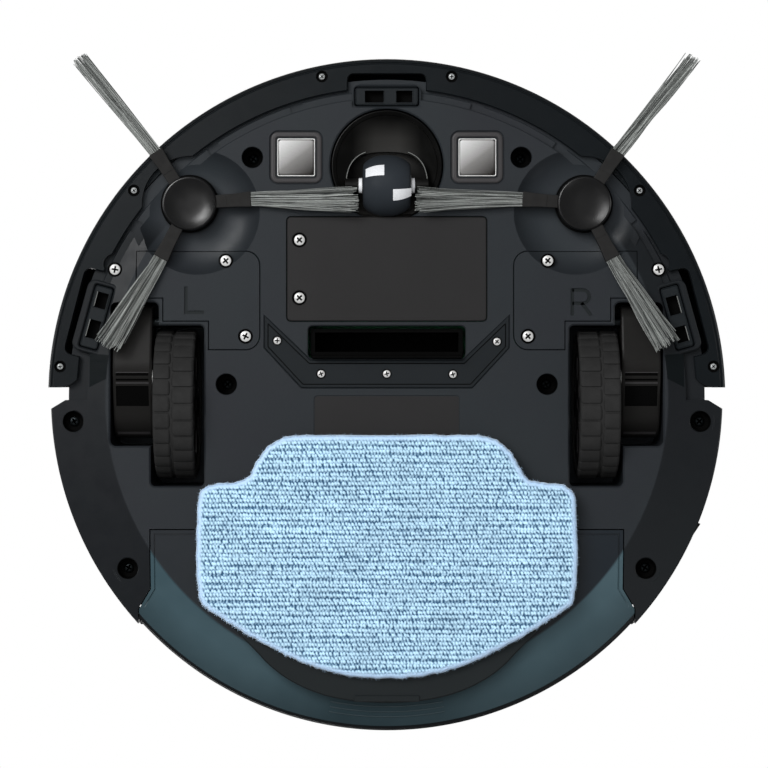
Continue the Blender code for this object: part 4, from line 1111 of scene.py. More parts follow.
def screws():
    """Every screw head that shows, on the body and on the bumper."""
    sizes = 0.0023, 0.0031
    heads = [(x, y, surface_at(x, y) + 0.0004, *sizes) for x, y in both(SCREWS_IN_BELLY)]
    heads += [(x, y, BASE_Z + 0.0004, *sizes) for x, y in BATTERY_SCREWS]
    heads += [(x, y, BASE_Z + 0.0001, 0.0016, 0.0020) for x, y in INLET_SCREWS]
    screw_set("body_screws", heads, "chassis", "battery_screw_1", "battery_screw_2")
    heads = [(x, y, 0.0166, 0.0013, 0.0024) for x, y in both(BUMPER_SCREWS)]
    screw_set("bumper_screws", heads, "bumper", finish=DULL_STEEL)
    # Painted shade in the tower holes: their walls are lined with near black and their screws are dark steel.
    deep, liners = [], []
    for x, y in both(SCREW_TOWERS):
        deep.append(phillips_screw(x, y, 0.0242, 0.0022))
        z = surface_at(x, y) + 0.0009
        liners.append(turned("liner", [
            (0, 0.0248), (0.0040, 0.0248), (0.0042, 0.0246), (0.0043, z), (0.0045, z),
            (0.0045, 0.0252), (0, 0.0252)], centre=(x, y), steps=48))
    for name, parts, finish in (("deep_screws", deep, DARK_STEEL), ("screw_wells", liners, PIT)):
        piece(joined(name, parts), name, finish, "chassis", "black_inner", sharp=30)


# ---- bumper ----
def bumper():
    ring = turned("bumper_shell", [
        (0.1345, 0.0162), (0.1349, 0.0157), (0.1449, 0.0163), (0.1453, 0.0166), (0.1455, 0.0172),
        (0.1458, 0.0172), (0.1460, 0.0167), (0.1464, 0.0167), (0.1468, 0.0172), (0.1473, 0.0190),
        (0.1477, 0.0215), (0.1481, 0.0250), (0.1486, 0.0300), (0.1494, 0.0370), (0.1499, 0.0430),
        (BUMPER_R, 0.0470), (0.1499, 0.0520), (0.1496, 0.0560), (0.1491, 0.0590), (0.1484, 0.0615),
        (0.1475, 0.0631), (0.1462, 0.0643), (0.1424, 0.0658), (0.1424, 0.0640), (0.1452, 0.0620),
        (0.1474, 0.0550), (0.1474, 0.0400), (0.1454, 0.0240), (0.1430, 0.0192), (0.1345, 0.0178)],
        steps=ROUND)
    keep(ring, block("front_half", (-0.16, BUMPER_END_Y, 0), (0.16, 0.16, 0.09)))
    window = keep(hoop("window", 0.1462, 0.034, 0.155, 0.052), wedge(35, 145))
    cutters = [stack("front_notch", rectangle(-0.0170, 0.12, 0.0170, 0.1408, 0.0025),
                     [(0.0008, 0.0148), (0, 0.0168), (0, 0.0200)]), window]
    for _, side in SIDES:
        pocket = stack("sensor_pocket", rectangle(0.1200, -0.0160, 0.1408, 0.0222, 0.003),
                       [(0.0008, 0.0148), (0, 0.0170), (0, 0.0200)])
        cutters.append(swung(other_side(pocket, side), side * 14.5))
        outline = flipped(rectangle(0.1200, -0.0100, 0.1416, 0.0205), side)
        end = prism("end_cut", outline, 0.0148, 0.0196)
        cutters.append(cut(end, upright(side * 0.1418, 0.0143, 0.0095, 0.01, 0.03, 64)))
        cutters.append(upright(side * BRUSH[0], BRUSH[1], 0.021, 0.01, 0.0185, 96))
        cutters.append(upright(side * 0.1184, 0.0580, 0.0046, 0.01, 0.0185, 48))
        cutters += [upright(side * x, y, 0.0026, 0.005, 0.0179) for x, y in BUMPER_SCREWS]
    cut(ring, *cutters)
    piece(ring, "bumper_shell", BUMPER, "bumper", "bumper", "bumper", sharp=20)
    lens = turned("bumper_lens", [(0.1466, 0.0343), (0.1488, 0.0343), (0.1494, 0.0370), (0.1497, 0.0430),
                                  (0.1498, 0.0470), (0.1496, 0.0517), (0.1466, 0.0517)], steps=ROUND)
    piece(keep(lens, wedge(35.15, 144.85)), "bumper_lens", GLOSS, "bumper", "gloss_top",
          "bumper_window")


# ---- upper shell, top cover and button ----
def shell():
    body = turned("shell", [
        (0.1355, SHELL_Z), (0.1355, 0.0668), (0.118, 0.0668), (0.118, DECK_Z), (0.1396, DECK_Z),
        (0.1400, 0.0689), (0.1400, 0.0662), (0.1440, 0.0647), (0.1462, 0.0625), (0.1470, 0.0603),
        (0.1475, 0.0580), (0.1479, 0.0520), (BODY_R, 0.0470), (0.1477, 0.0400), (0.1472, 0.0340),
        (0.1466, SHELL_Z)], steps=ROUND)
    hollow = turned("rear_hollow", [(0.131, 0.025), (0.1442, 0.025), (0.1456, 0.0400),
                                    (0.1456, 0.0640), (0.131, 0.0640)], steps=ROUND)
    cutters = [keep(hoop("channel", 0.1385, 0.02, PAST, 0.0664), front_region()),
               keep(hollow, rear_region()), prism("tank_bay", tank_outline(0.0005), 0.0, 0.0568),
               swung(block("switch_hole", (0.13, -0.0085, 0.036), (0.16, 0.0085, 0.047)), SWITCH_ANGLE)]
    for i in range(6):
        slot = prism("vent", rectangle(-0.0016, 0.036, 0.0016, 0.052, 0.0015), 0.13, 0.16, ALONG_X)
        cutters.append(swung(slot, -20 - 3.0 * i))
    cut(body, *cutters)
    piece(body, "shell", CHASSIS, "chassis", "chassis", "upper_shell", sharp=24)


def lid_and_button():
    lid = turned("lid", [
        (0, TOP_Z), (0.104, TOP_Z), (0.114, 0.0776), (0.124, 0.0769), (0.130, 0.0761),
        (0.1345, 0.0752), (0.1368, 0.0743), (0.1385, 0.0732), (0.1393, 0.0722), (0.1396, 0.0712),
        (0.1396, 0.0697), (0.1394, 0.0695), (0.1370, 0.0695), (0.122, 0.0744), (0, 0.0757)],
        steps=ROUND)
    cut(lid, turned("button_hole", [(0, 0.06), (0.0142, 0.06), (0.0142, 0.0776), (0.0152, 0.0786),
                                    (0.0152, 0.09), (0, 0.09)], centre=BUTTON, steps=96))
    piece(lid, "lid", GLOSS, "chassis", "gloss_top", "top_cover", sharp=24)
    button = turned("button", [
        (0, 0.0780), (0.004, 0.0780), (0.009, 0.0782), (0.0110, 0.0782), (0.0124, 0.0780),
        (0.0133, 0.0776), (0.0138, 0.0770), (0.0138, 0.0742), (0.0030, 0.0742), (0.0030, 0.0700),
        (0, 0.0700)], centre=BUTTON, steps=96)
    cut(button, turned("ring", [(0.0104, 0.0779), (0.0104, 0.079), (0.0112, 0.079), (0.0112, 0.0779)],
                       centre=BUTTON, steps=96))
    piece(button, "button", COVER, "start_button", "cover", "start_button")


# ---- charging contacts, cliff sensors, inlet ----
def contacts():
    frames, rims = [], []
    for name, side in SIDES:
        middle = side * CONTACT[0], CONTACT[1]
        plate = stack(f"contact_{name}", square(*middle, 0.0077, 0.0014), [
            (-0.0009, 0.0138), (-0.0005, 0.0139), (-0.0001, 0.0143), (0, 0.0147), (0, 0.0165)])
        piece(plate, f"contact_plate_{name}", PLATED, "chassis", "steel", f"charging_contact_{name}")
        ring = stack("ring", square(*middle, 0.0111, 0.0032), [
            (-0.0010, 0.01385), (-0.0004, 0.0140), (0, 0.0144), (0, 0.0149)])
        frames.append(cut(ring, stack("inside", square(*middle, 0.0086, 0.0010), [
            (0.0012, 0.0133), (0.0004, 0.0141), (0, 0.0160)])))
        rim = stack("rim", square(*middle, 0.0082, 0.0008), [
            (-0.0001, 0.0138), (0, 0.0140), (0, 0.0150)])
        rims.append(cut(rim, prism("inside", square(*middle, 0.0078, 0.0006), 0.01, 0.02)))
    piece(joined("contact_rims", rims), "contact_rims", STEEL, "chassis", "steel")
    piece(joined("contact_frames", frames), "contact_frames", FRAME_GREY, "chassis", "cover")


def cliff_sensors():
    glints = []
    for name, degrees in SENSOR_TURNS:
        body = stack("sensor", sensor_outline(), [(-0.0004, 0.0156), (0, 0.0160), (0, 0.0218)])
        groove = prism("groove", sensor_outline(-0.0004, 0.0008), 0.0140, 0.0159)
        cut(body, cut(groove, block("land", (-0.0130, -0.0033, 0.01), (0.0130, 0.0031, 0.02))))
        sills, glass = [], []
        for start, end in SENSOR_WINDOWS:
            cut(body, block("window", (start, -0.0031, 0.0140), (end, 0.0027, 0.0214)))
            sill = block("sill", (start, -0.0031, 0.0153), (end, 0.0027, 0.0165))
            cut(sill, block("hole", (start + 0.0003, -0.0028, 0.01), (end - 0.0003, 0.0024, 0.02)))
            sills.append(at_sensor(sill, degrees))
            lens = block("lens", (start + 0.0002, -0.0029, 0.0202), (end - 0.0002, 0.0025, 0.0212))
            glass.append(at_sensor(lens, degrees))
            # On the side sensors a pale strip along each window's edge stands for a glint: a painted highlight.
            if name != "front":
                line = block("glint", (start + 0.0004, 0.0021, 0.0154), (end - 0.0008, 0.0026, 0.0162))
                glints.append(at_sensor(line, degrees))
        piece(at_sensor(body, degrees), f"sensor_{name}", INLET_GREY, "chassis", "black_inner",
              f"cliff_sensor_{name}")
        for kind, parts, finish in (("sills", sills, INLET_GREY), ("lens", glass, PIT)):
            piece(joined(kind, parts), f"sensor_{kind}_{name}", finish, "chassis", "black_inner")
    piece(joined("glints", glints), "sensor_edges", PAINTED_EDGE_LIGHT, "chassis", "black_inner")


def inlet():
    outline = inlet_frame_outline()
    plate = stack("inlet_plate", outline, [(-0.0003, 0.0138), (0, 0.0141), (0, 0.0154)])
    inner = offset(outline, -0.0015)
    sides = list(zip(inner, inner[1:] + inner[:1]))
    dark = [prism("border", ribbon(line, 0.0004), 0.0139, 0.0143) for line in sides]
    piece(joined("border", dark), "inlet_border", PIT, "chassis", "chassis")
    cut(plate, *[prism("border", ribbon(line, 0.00045), 0.0130, 0.0144) for line in sides],
        *[upright(x, y, 0.0022, 0.0130, 0.0149) for x, y in INLET_SCREWS])
    piece(plate, "inlet_plate", INLET_GREY, "chassis", "chassis", "inlet_frame")


# ---- caster ----
def caster():
    dome = [(0, 0.0250)]
    for i in range(1, 15):
        share = 0.935 * i / 14
        dome.append((0.0233 * share, 0.0250 - 0.0097 * share ** 2.6))
    collar = turned("caster_collar", [
        (0.0221, 0.0165), (0.0227, 0.0159), (0.0233, 0.0153), (0.0235, 0.0151), (0.0238, 0.0152),
        (0.0240, 0.0160), (0.0240, 0.0172), (0.0221, 0.0172)], centre=CASTER, steps=128)
    keep(collar, block("front", (-0.03, 0.0798, 0), (0.03, 0.13, 0.05)))
    piece(collar, "caster_collar", DOME, "chassis", "black_inner")
    housing = turned("caster_dome", dome + [
        (0.0219, 0.0170), (0.0219, 0.0176), (0.0240, 0.0178), (0.0240, 0.0340), (0.0210, 0.0380),
        (0.0039, 0.0380), (0.0039, 0.0450), (0, 0.0450)], centre=CASTER, steps=128)
    arch = oval(0.0176, 0.0899, 2.8)
    cut(housing, prism("wheel_pocket", arch, 0.0, 0.0300))
    caster_lip_highlight(arch)
    outline = rounded([(0.0892, 0.0098), (0.0950, 0.0098), (0.0950, 0.0300), (0.0892, 0.0300)],
                      [0.003, 0.003, 0, 0])
    fuse(housing, *[prism("ear", outline, *sorted((side * 0.0124, side * 0.0180)), ALONG_X)
                    for side in (1, -1)])
    cut(housing, crossbar(CASTER_WHEEL_Y, CASTER_WHEEL_R, 0.0018, -0.018, 0.018))
    piece(housing, "caster_dome", DOME, "caster_swivel", "cover", "caster_housing")
    caster_barrel()
    half_pin = [(0.0015, 0.0106), (0.0034, 0.0107), (0.0032, 0.0121), (0.0015, 0.0123),
                (0.0015, 0.0142), (0.0026, 0.0144), (0.0026, 0.0150), (0.0015, 0.0152),
                (0.0015, 0.0176), (0, 0.0176)]
    pin = turned("axle", [(r, -x) for r, x in reversed(half_pin)] + half_pin, steps=32, axis=ALONG_X,
                 at=CASTER_AXLE)
    piece(pin, "caster_pin", WHITE, "caster_swivel", "white_plastic", "caster_axle")


def caster_lip_highlight(arch):
    """A pale strip on the edge of the wheel's pocket, painted as a highlight, on both sides of the wheel's front half;
    its middle is left out, where the wheel's shade falls.
    """
    lip = stack("lip", offset(arch, 0.00035), [(-0.0001, 0.0140), (0, 0.0142), (0, 0.0260)])
    cut(lip, prism("inside", arch, 0.0, 0.0300))
    keep(lip, upright(*CASTER, 0.0238, 0.0, 0.04, 96),
         block("front", (-0.03, 0.0935, 0), (0.03, 0.13, 0.05)))
    cut(lip, block("middle", (-0.0092, 0.09, 0), (0.0092, 0.13, 0.05)))
    piece(lip, "caster_lip_highlight", PAINTED_EDGE_LIGHT, "caster_swivel", "cover", sharp=30)


def barrel_radius(x):
    """The caster wheel's radius at a distance from its middle."""
    return CASTER_WHEEL_R - 0.0032 * abs(x / (CASTER_HALF_W - 0.0009)) ** 2.6


def caster_barrel():
    half = CASTER_HALF_W
    barrel = [(0.0020, -half), (0.0080, -half), (0.0092, -half + 0.0003)]
    for i in range(21):
        x = (-1 + 2 * i / 20) * (half - 0.0009)
        barrel.append((barrel_radius(x), x))
    barrel += [(0.0092, half - 0.0003), (0.0080, half), (0.0020, half)]
    wheel = turned("caster_barrel", barrel, steps=128, axis=ALONG_X, at=CASTER_AXLE)
    piece(wheel, "caster_barrel", WHEEL_BLACK, "caster_wheel", "black_inner", "caster_wheel", sharp=30)
    patches = [wheel_patch(low, high, start + turn, 22.5)
               for low, high, start in ((0.0011, 0.0091, 16.0), (-0.0106, -0.0027, -33.0))
               for turn in (0, 180)]
    piece(joined("caster_marks", patches), "caster_marks", WHITE, "caster_wheel", "white_plastic",
          sharp=30)


def wheel_patch(low, high, start, sweep, cells=10):
    """A thin white mark bent round the caster barrel, start degrees ahead of straight down."""
    verts, faces = [], []
    for layer in (0.00012, -0.0004):
        for i in range(cells + 1):
            x = low + (high - low) * i / cells
            radius = barrel_radius(x) + layer
            for j in range(cells + 1):
                angle = math.radians(start + sweep * j / cells)
                verts.append((x, CASTER_WHEEL_Y + radius * math.sin(angle),
                              CASTER_WHEEL_R - radius * math.cos(angle)))

    def at(layer, i, j):
        return (layer * (cells + 1) + i) * (cells + 1) + j

    for i in range(cells):
        for j in range(cells):
            for layer in (0, 1):
                faces.append((at(layer, i, j), at(layer, i + 1, j), at(layer, i + 1, j + 1),
                              at(layer, i, j + 1)))
        for edge in (0, cells):
            faces.append((at(0, i, edge), at(0, i + 1, edge), at(1, i + 1, edge), at(1, i, edge)))
            faces.append((at(0, edge, i), at(0, edge, i + 1), at(1, edge, i + 1), at(1, edge, i)))
    return made("patch", verts, faces)


# ---- drive modules ----
def arm_outline(shrink=0.0):
    return hull([point for y, z, radius in ARM_CIRCLES for point in circle(y, z, radius - shrink, 96)])


def across(name, outline, levels):
    """A stack along X; levels are (grow, distance from the middle)."""
    return stack(name, outline, levels, ALONG_X)


def arm_slice(low, high, outer, inner):
    """The slice from low to high in Y of a shell under a drive arm, between two shrunken outlines."""
    shell = cut(across("slice", arm_outline(outer), [(0, 0.1034), (0, 0.1176)]),
                across("inside", arm_outline(inner), [(0, ARM_NEAR), (0, ARM_FAR)]))
    return keep(shell, block("strip", (ARM_NEAR, low, 0.005), (ARM_FAR, high, 0.027)))


def drive_arm(name, side):
    arm = across("arm", arm_outline(), [(-0.0010, 0.1020), (-0.0003, 0.1023), (0, 0.1030), (0, 0.1180),
                                        (-0.0003, 0.1187), (-0.0010, 0.1190)])
    cut(arm, across("gear_space", arm_outline(0.0016), [(0, 0.1036), (0, 0.1174)]))
    fuse(arm, crossbar(*ARM_PIVOT, 0.0052, 0.1022, 0.1188),
         crossbar(0.012, WHEEL_R, 0.0012, 0.1025, 0.1185))
    bands = ((-0.0036, 0.0052), (0.0074, 0.0083), (0.0096, 0.0108))
    cut(arm, *[arm_slice(low, high, -0.0003, 0.0009) for low, high in bands],
        crossbar(*ARM_PIVOT, PIN_BORE_R, ARM_NEAR, ARM_FAR),
        crossbar(WHEEL_Y, WHEEL_R, PIN_BORE_R, ARM_NEAR, ARM_FAR))
    body = f"suspension_{name}"
    piece(other_side(arm, side), f"arm_{name}", ARM_GLOSS, body, "cover", f"drive_arm_{name}", sharp=20)
    # Near-black strips in the recessed bands are painted shade, and pale strips along the bands' edges are painted
    # highlights.
    dark = [arm_slice(low + 0.0001, high - 0.0001, 0.0006, 0.0008) for low, high in bands]
    edges = [arm_slice(low, high, -0.00005, 0.0006)
             for low, high in ((0.0109, 0.0112), (0.0062, 0.0067), (-0.0160, -0.0149))]
    for kind, parts, finish in (("recess", dark, PIT), ("edges", edges, FRAME_GREY)):
        whole = joined(kind, [other_side(part, side) for part in parts])
        piece(whole, f"arm_{kind}_{name}", finish, body, "cover")


def tread_outline(phase):
    """A ring of slightly crowned tread blocks, with a groove before each of them."""
    low, high = TREAD_FLOOR_R, WHEEL_R
    points = []
    for i in range(TREAD_BLOCKS):
        for share, radius in ((0.0, low), (0.10, low), (0.12, high - 0.0003), (0.30, high),
                              (0.65, high), (0.985, high - 0.0005)):
            angle = math.tau * (i + share + phase) / TREAD_BLOCKS
            points.append((radius * math.cos(angle), radius * math.sin(angle)))
    return points


def wheel(name, side):
    low, high = WHEEL_X - WHEEL_W / 2, WHEEL_X + WHEEL_W / 2
    hub = (0, WHEEL_Y, WHEEL_R)
    middle = high - 0.0078
    tyre = turned("tyre", [
        (0.0292, low), (0.0306, low), (0.0313, low + 0.0005), (0.0315, low + 0.0012),
        (0.0315, high - 0.0012), (0.0313, high - 0.0005), (0.0306, high), (0.0292, high)],
        steps=192, axis=ALONG_X, at=hub)
    rows = []
    for start, end, phase in ((low, middle - 0.0002, 0.0), (middle + 0.0002, high, 0.5)):
        row = across("row", tread_outline(phase), [
            (-0.0012, start), (-0.0004, start + 0.0004), (0, start + 0.0010), (0, end - 0.0010),
            (-0.0004, end - 0.0004), (-0.0012, end)])
        rows.append(cut(moved(row, *hub), crossbar(*hub[1:], 0.0300, low - 0.01, high + 0.01, 192)))
    fuse(tyre, *rows)
    piece(other_side(tyre, side), f"tyre_{name}", TYRE, f"drive_wheel_{name}", "tyre",
          f"wheel_tyre_{name}", sharp=24)
    rim = turned("rim", [
        (0.0028, low + 0.0006), (0.0250, low + 0.0006), (0.0262, low + 0.0010), (0.0289, low + 0.0016),
        (0.0289, high - 0.0006), (0.0274, high - 0.0006), (0.0274, low + 0.0030), (0.0055, low + 0.0030),
        (0.0055, high - 0.0045), (0.0028, high - 0.0045)], steps=128, axis=ALONG_X, at=hub)
    spoke_gap = rounded([(0.0105, -0.0034), (0.0215, -0.0058), (0.0215, 0.0058), (0.0105, 0.0034)],
                        0.0015)
    gaps = []
    for i in range(6):
        gap = across("gap", spoke_gap, [(0, low - 0.005), (0, high + 0.005)])
        gap.data.transform(Matrix.Translation(hub) @ Matrix.Rotation(math.tau * i / 6, 4, "X"))
        gaps.append(gap)
    cut(rim, *gaps)
    piece(other_side(rim, side), f"rim_{name}", COVER, f"drive_wheel_{name}", "cover",
          f"wheel_rim_{name}")


# ---- side brushes ----
def brush_hub(name, side):
    middle, body = (side * BRUSH[0], BRUSH[1]), f"side_brush_{name}"
    dish = [(0.0108 * i / 16, 0.0098 - 0.0016 * (i / 16) ** 3.2) for i in range(17)]
    hub = turned("hub", dish + [
        (0.0112, 0.0083), (0.0115, 0.0086), (0.0117, 0.0090), (0.0117, 0.0130), (0.0115, 0.0132),
        (0.0050, 0.0132), (0.0050, 0.0168), (0.0023, 0.0168), (0.0023, 0.0114), (0, 0.0114)],
        centre=middle, steps=96)
    piece(hub, f"hub_{name}", HUB, body, "rubber", f"side_brush_hub_{name}", sharp=30)
    # A near-black ring just outside the hub's rim: painted shadow round the hub.
    shadow_ring = turned("shadow_ring", rectangle(0.0054, 0.0134, 0.0126, 0.0139), centre=middle, steps=96)
    piece(shadow_ring, f"hub_skirt_{name}", PIT, body, "rubber")
    outline = rounded([(0.0100, -0.0027), (0.0200, -0.0029), (0.0268, -0.0034), (0.0268, 0.0034),
                       (0.0200, 0.0029), (0.0100, 0.0027)], [0, 0.002, 0.0006, 0.0006, 0.002, 0], 4)
    arms = []
    for angle, *_ in TUFTS:
        arm = stack("arm", outline, [(-0.0005, 0.0094), (-0.0001, 0.0096), (0, 0.0100), (0, 0.0126),
                                     (-0.0003, 0.0129)])
        cut(arm, block("crease", (0.0160, -0.01, 0.008), (0.0163, 0.01, 0.00965)))
        arms.append(on_arm(arm, side, angle))
    piece(joined("arms", arms), f"brush_arms_{name}", RUBBER, body, "rubber", sharp=30)


def on_arm(obj, side, angle):
    """Turns a shape made along +X from the spindle to its arm's place."""
    return moved(other_side(swung(obj, angle), side), side * BRUSH[0], BRUSH[1], 0)


def strand_faces(first, rings):
    """The faces of a three-sided strand through that many rings of points, and its two ends."""
    faces = []
    for i in range(first, first + (rings - 1) * 3, 3):
        for k in range(3):
            n = (k + 1) % 3
            faces.append((i + k, i + n, i + 3 + n, i + 3 + k))
    last = first + (rings - 1) * 3
    return faces + [(first + 2, first + 1, first), (last, last + 1, last + 2)]


def tuft(rng, reach, lean, fan, rings=10):
    """Filaments from the arm's clamp, fanning out and drooping, with uneven ends."""
    verts, faces, shades = [], [], []
    bend = math.radians(lean)
    for _ in range(STRANDS):
        sideways = rng.uniform(-CLAMP_HALF, CLAMP_HALF)
        deep = rng.uniform(-1, 1)
        spread = sideways / CLAMP_HALF * fan + rng.gauss(0, 0.0005)
        length = reach - CLAMP_END - abs(rng.gauss(0, 0.0024)) - abs(sideways) / CLAMP_HALF * 0.0006
        wave = rng.gauss(0, 0.00035)
        thick = rng.uniform(0.00011, 0.00019)
        faces += strand_faces(len(verts), rings)
        shades += [rng.random()] * (3 * rings)
        for i in range(rings):
            share = i / (rings - 1)
            x = CLAMP_END - 0.0007 + length * share * math.cos(bend)
            y = (sideways + (spread - sideways) * share + math.sin(share * 5 + sideways * 900) * wave
                 + length * share * math.sin(bend))
            z = 0.0108 - 0.0058 * share ** 1.3 + deep * (0.0010 + 0.0004 * share)
            radius = thick * (1 - 0.25 * share)
            for k in range(3):
                around = math.tau * k / 3 + 0.5
                verts.append((x, y + radius * math.cos(around) * 1.3, z + radius * math.sin(around)))
    return made("tuft", verts, faces, weld=0), shades


def point_values(obj, name, values):
    attribute = obj.data.attributes.new(name, "FLOAT", "POINT")
    attribute.data.foreach_set("value", np.array(values, np.float32))


def brush_bristles(name, side):
    rng = random.Random(11 if side > 0 else 12)
    parts, all_shades = [], []
    for angle, reach, lean, fan in TUFTS:
        part, shades = tuft(rng, reach, lean, fan)
        parts.append(on_arm(part, side, angle))
        all_shades += shades
    whole = joined("bristles", parts)
    point_values(whole, "strand", all_shades)
    piece(whole, f"bristles_{name}", BRISTLE, f"side_brush_{name}", "bristle",
          f"side_brush_bristles_{name}", sharp=60)


# ---- water tank and mop ----
def tank():
    rim_z = BASE_Z + SLOPE * (TANK_R - FLAT_R)
    body = turned("tank", [
        (0, TANK_TOP), (TANK_R - 0.002, TANK_TOP), (TANK_R, TANK_TOP - 0.002), (TANK_R, rim_z + 0.0020),
        (TANK_R - 0.0008, rim_z + 0.0008), (TANK_R - 0.0020, rim_z + 0.0004),
        (TANK_R - 0.0022, rim_z - 0.0006), (FLAT_R, BASE_Z), (0, BASE_Z)], steps=ROUND)
    keep(body, prism("tank_plan", tank_outline(), 0.0, 0.1))
    wall = 0.0018
    hollow = turned("water", [
        (0, TANK_TOP - wall), (TANK_R - 0.004, TANK_TOP - wall), (TANK_R - wall, TANK_TOP - 0.004),
        (TANK_R - wall, rim_z + wall * 0.8), (FLAT_R, BASE_Z + wall), (0, BASE_Z + wall)], steps=ROUND)
    keep(hollow, prism("water_plan", tank_outline(-wall), 0.0, 0.1))
    cut(hollow, block("button_block", (-0.0185, -0.16, 0.0405), (0.0185, -0.1368, 0.06)))
    cut(body, hollow, upright(-0.070, -0.085, 0.0080, 0.05, 0.06, 64),
        block("button_slot", (-0.0165, -0.16, 0.0430), (0.0165, -0.1384, 0.0530)))
    groove = prism("groove", tank_outline(-0.0015), 0.005, 0.0190)
    cut(groove, prism("land", tank_outline(-0.0022), 0.004, 0.03))
    depth = turned("depth", [(0, 0.002), (0.16, 0.002), (0.16, rim_z + SLOPE * 0.0148 + 0.0009),
                             (FLAT_R, BASE_Z + 0.0009), (0, BASE_Z + 0.0009)], steps=ROUND)
    cut(body, keep(groove, depth))
    ribs = []
    for radius in (0.1343, 0.1366, 0.1388):
        rib = ribbon(arc(0, 0, radius, -100.5, -79.5, 24), 0.0006)
        z = BASE_Z + SLOPE * (radius - FLAT_R)
        ribs.append(stack("rib", rib, [(-0.0001, z - 0.0004), (0, z - 0.0002), (0, z + 0.0010)]))
    fuse(body, *ribs)
    piece(body, "tank", TANK, "rear_unit", "tank_smoke", "water_tank", sharp=14)


def mop_holder():
    half = [(0, -0.1318), (0.0170, -0.1308), (0.0330, -0.1268), (0.0480, -0.1185),
            (0.0590, -0.1065), (0.0790, -0.0870), (0.0790, -0.0430), (0.0760, -0.0405),
            (0.0580, -0.0390), (0.0520, -0.0250), (0.0430, -0.0195)]
    plate = stack("holder", softened(mirrored(half), 2), [(-0.0006, 0.0062), (0, 0.0068), (0, 0.0118)])
    fuse(plate, stack("tab", rectangle(-0.0142, -0.1310, 0.0142, -0.1282, 0.0006),
                      [(-0.0003, 0.0054), (0, 0.0058), (0, 0.0100)]))
    piece(plate, "mop_plate", HOLDER, "mop", "cover", "mop_holder", sharp=24)


def distance_to(outline, points):
    """For each point: its distance to the outline, the nearest point there, and whether it is inside."""
    starts = np.array(outline)
    ends = np.roll(starts, -1, axis=0)
    best = np.full(len(points), 1e9)
    nearest = np.zeros_like(points)
    inside = np.zeros(len(points), bool)
    for (ax, ay), (bx, by) in zip(starts, ends):
        edge = np.array((bx - ax, by - ay))
        share = np.clip(((points - (ax, ay)) @ edge) / (edge @ edge), 0, 1)
        foot = np.array((ax, ay)) + share[:, None] * edge
        gap = np.hypot(*(points - foot).T)
        closer = gap < best
        best[closer] = gap[closer]
        nearest[closer] = foot[closer]
        crosses = (ay > points[:, 1]) != (by > points[:, 1])
        with np.errstate(divide="ignore", invalid="ignore"):
            meet = ax + (points[:, 1] - ay) / (by - ay) * (bx - ax)
        inside ^= crosses & (points[:, 0] < meet)
    return best, nearest, inside


def loops_over(grid_x, grid_y):
    """Height of the terry loops over a grid, from 0 between them to 1 on their tips."""
    rng = np.random.default_rng(5)
    height = np.zeros((len(grid_y), len(grid_x)))
    rows = int((grid_y[-1] - grid_y[0]) / ROW_PITCH) + 3
    columns = int((grid_x[-1] - grid_x[0]) / LOOP_PITCH) + 3
    for r in range(rows):
        sway = rng.uniform(0, 10)
        low_row = r % 2
        for c in range(columns):
            cx = grid_x[0] + (c + 0.42 * (r % 3)) * LOOP_PITCH + rng.normal(0, 0.00014)
            cy = (grid_y[0] + r * ROW_PITCH + 0.0003 * math.sin(cx * 60 + sway)
                  + rng.normal(0, 0.00008))
            turn = math.radians((112 if low_row else 62) + rng.normal(0, 9))
            long, wide = 0.00104 * rng.uniform(0.90, 1.10), 0.00066 * rng.uniform(0.85, 1.12)
            tall = rng.uniform(0.40, 0.66) if low_row else rng.uniform(0.78, 1.0)
            i0, i1 = np.searchsorted(grid_x, (cx - LOOP_REACH, cx + LOOP_REACH))
            j0, j1 = np.searchsorted(grid_y, (cy - LOOP_REACH, cy + LOOP_REACH))
            if i0 == i1 or j0 == j1:
                continue
            dx = grid_x[i0:i1][None, :] - cx
            dy = grid_y[j0:j1][:, None] - cy
            u = dx * math.cos(turn) + dy * math.sin(turn)
            v = -dx * math.sin(turn) + dy * math.cos(turn)
            bulge = 1 - (u / long) ** 2 - (v / wide) ** 2
            patch = height[j0:j1, i0:i1]
            np.maximum(patch, tall * np.sqrt(np.clip(bulge, 0, 1)), out=patch)
    return height


def wavy(outline):
    """The outline with the slight waviness of a sewn edge."""
    run, points = 0.0, []
    for i, (x, y) in enumerate(outline):
        before, after = Vector(outline[i - 1]), Vector(outline[(i + 1) % len(outline)])
        run += (Vector((x, y)) - before).length
        way = (after - before).normalized()
        push = (0.00016 * math.sin(run * 690) + 0.00014 * math.sin(run * 1510 + 1)
                + 0.0001 * math.sin(run * 250))
        points.append((x + way.y * push, y - way.x * push))
    return points


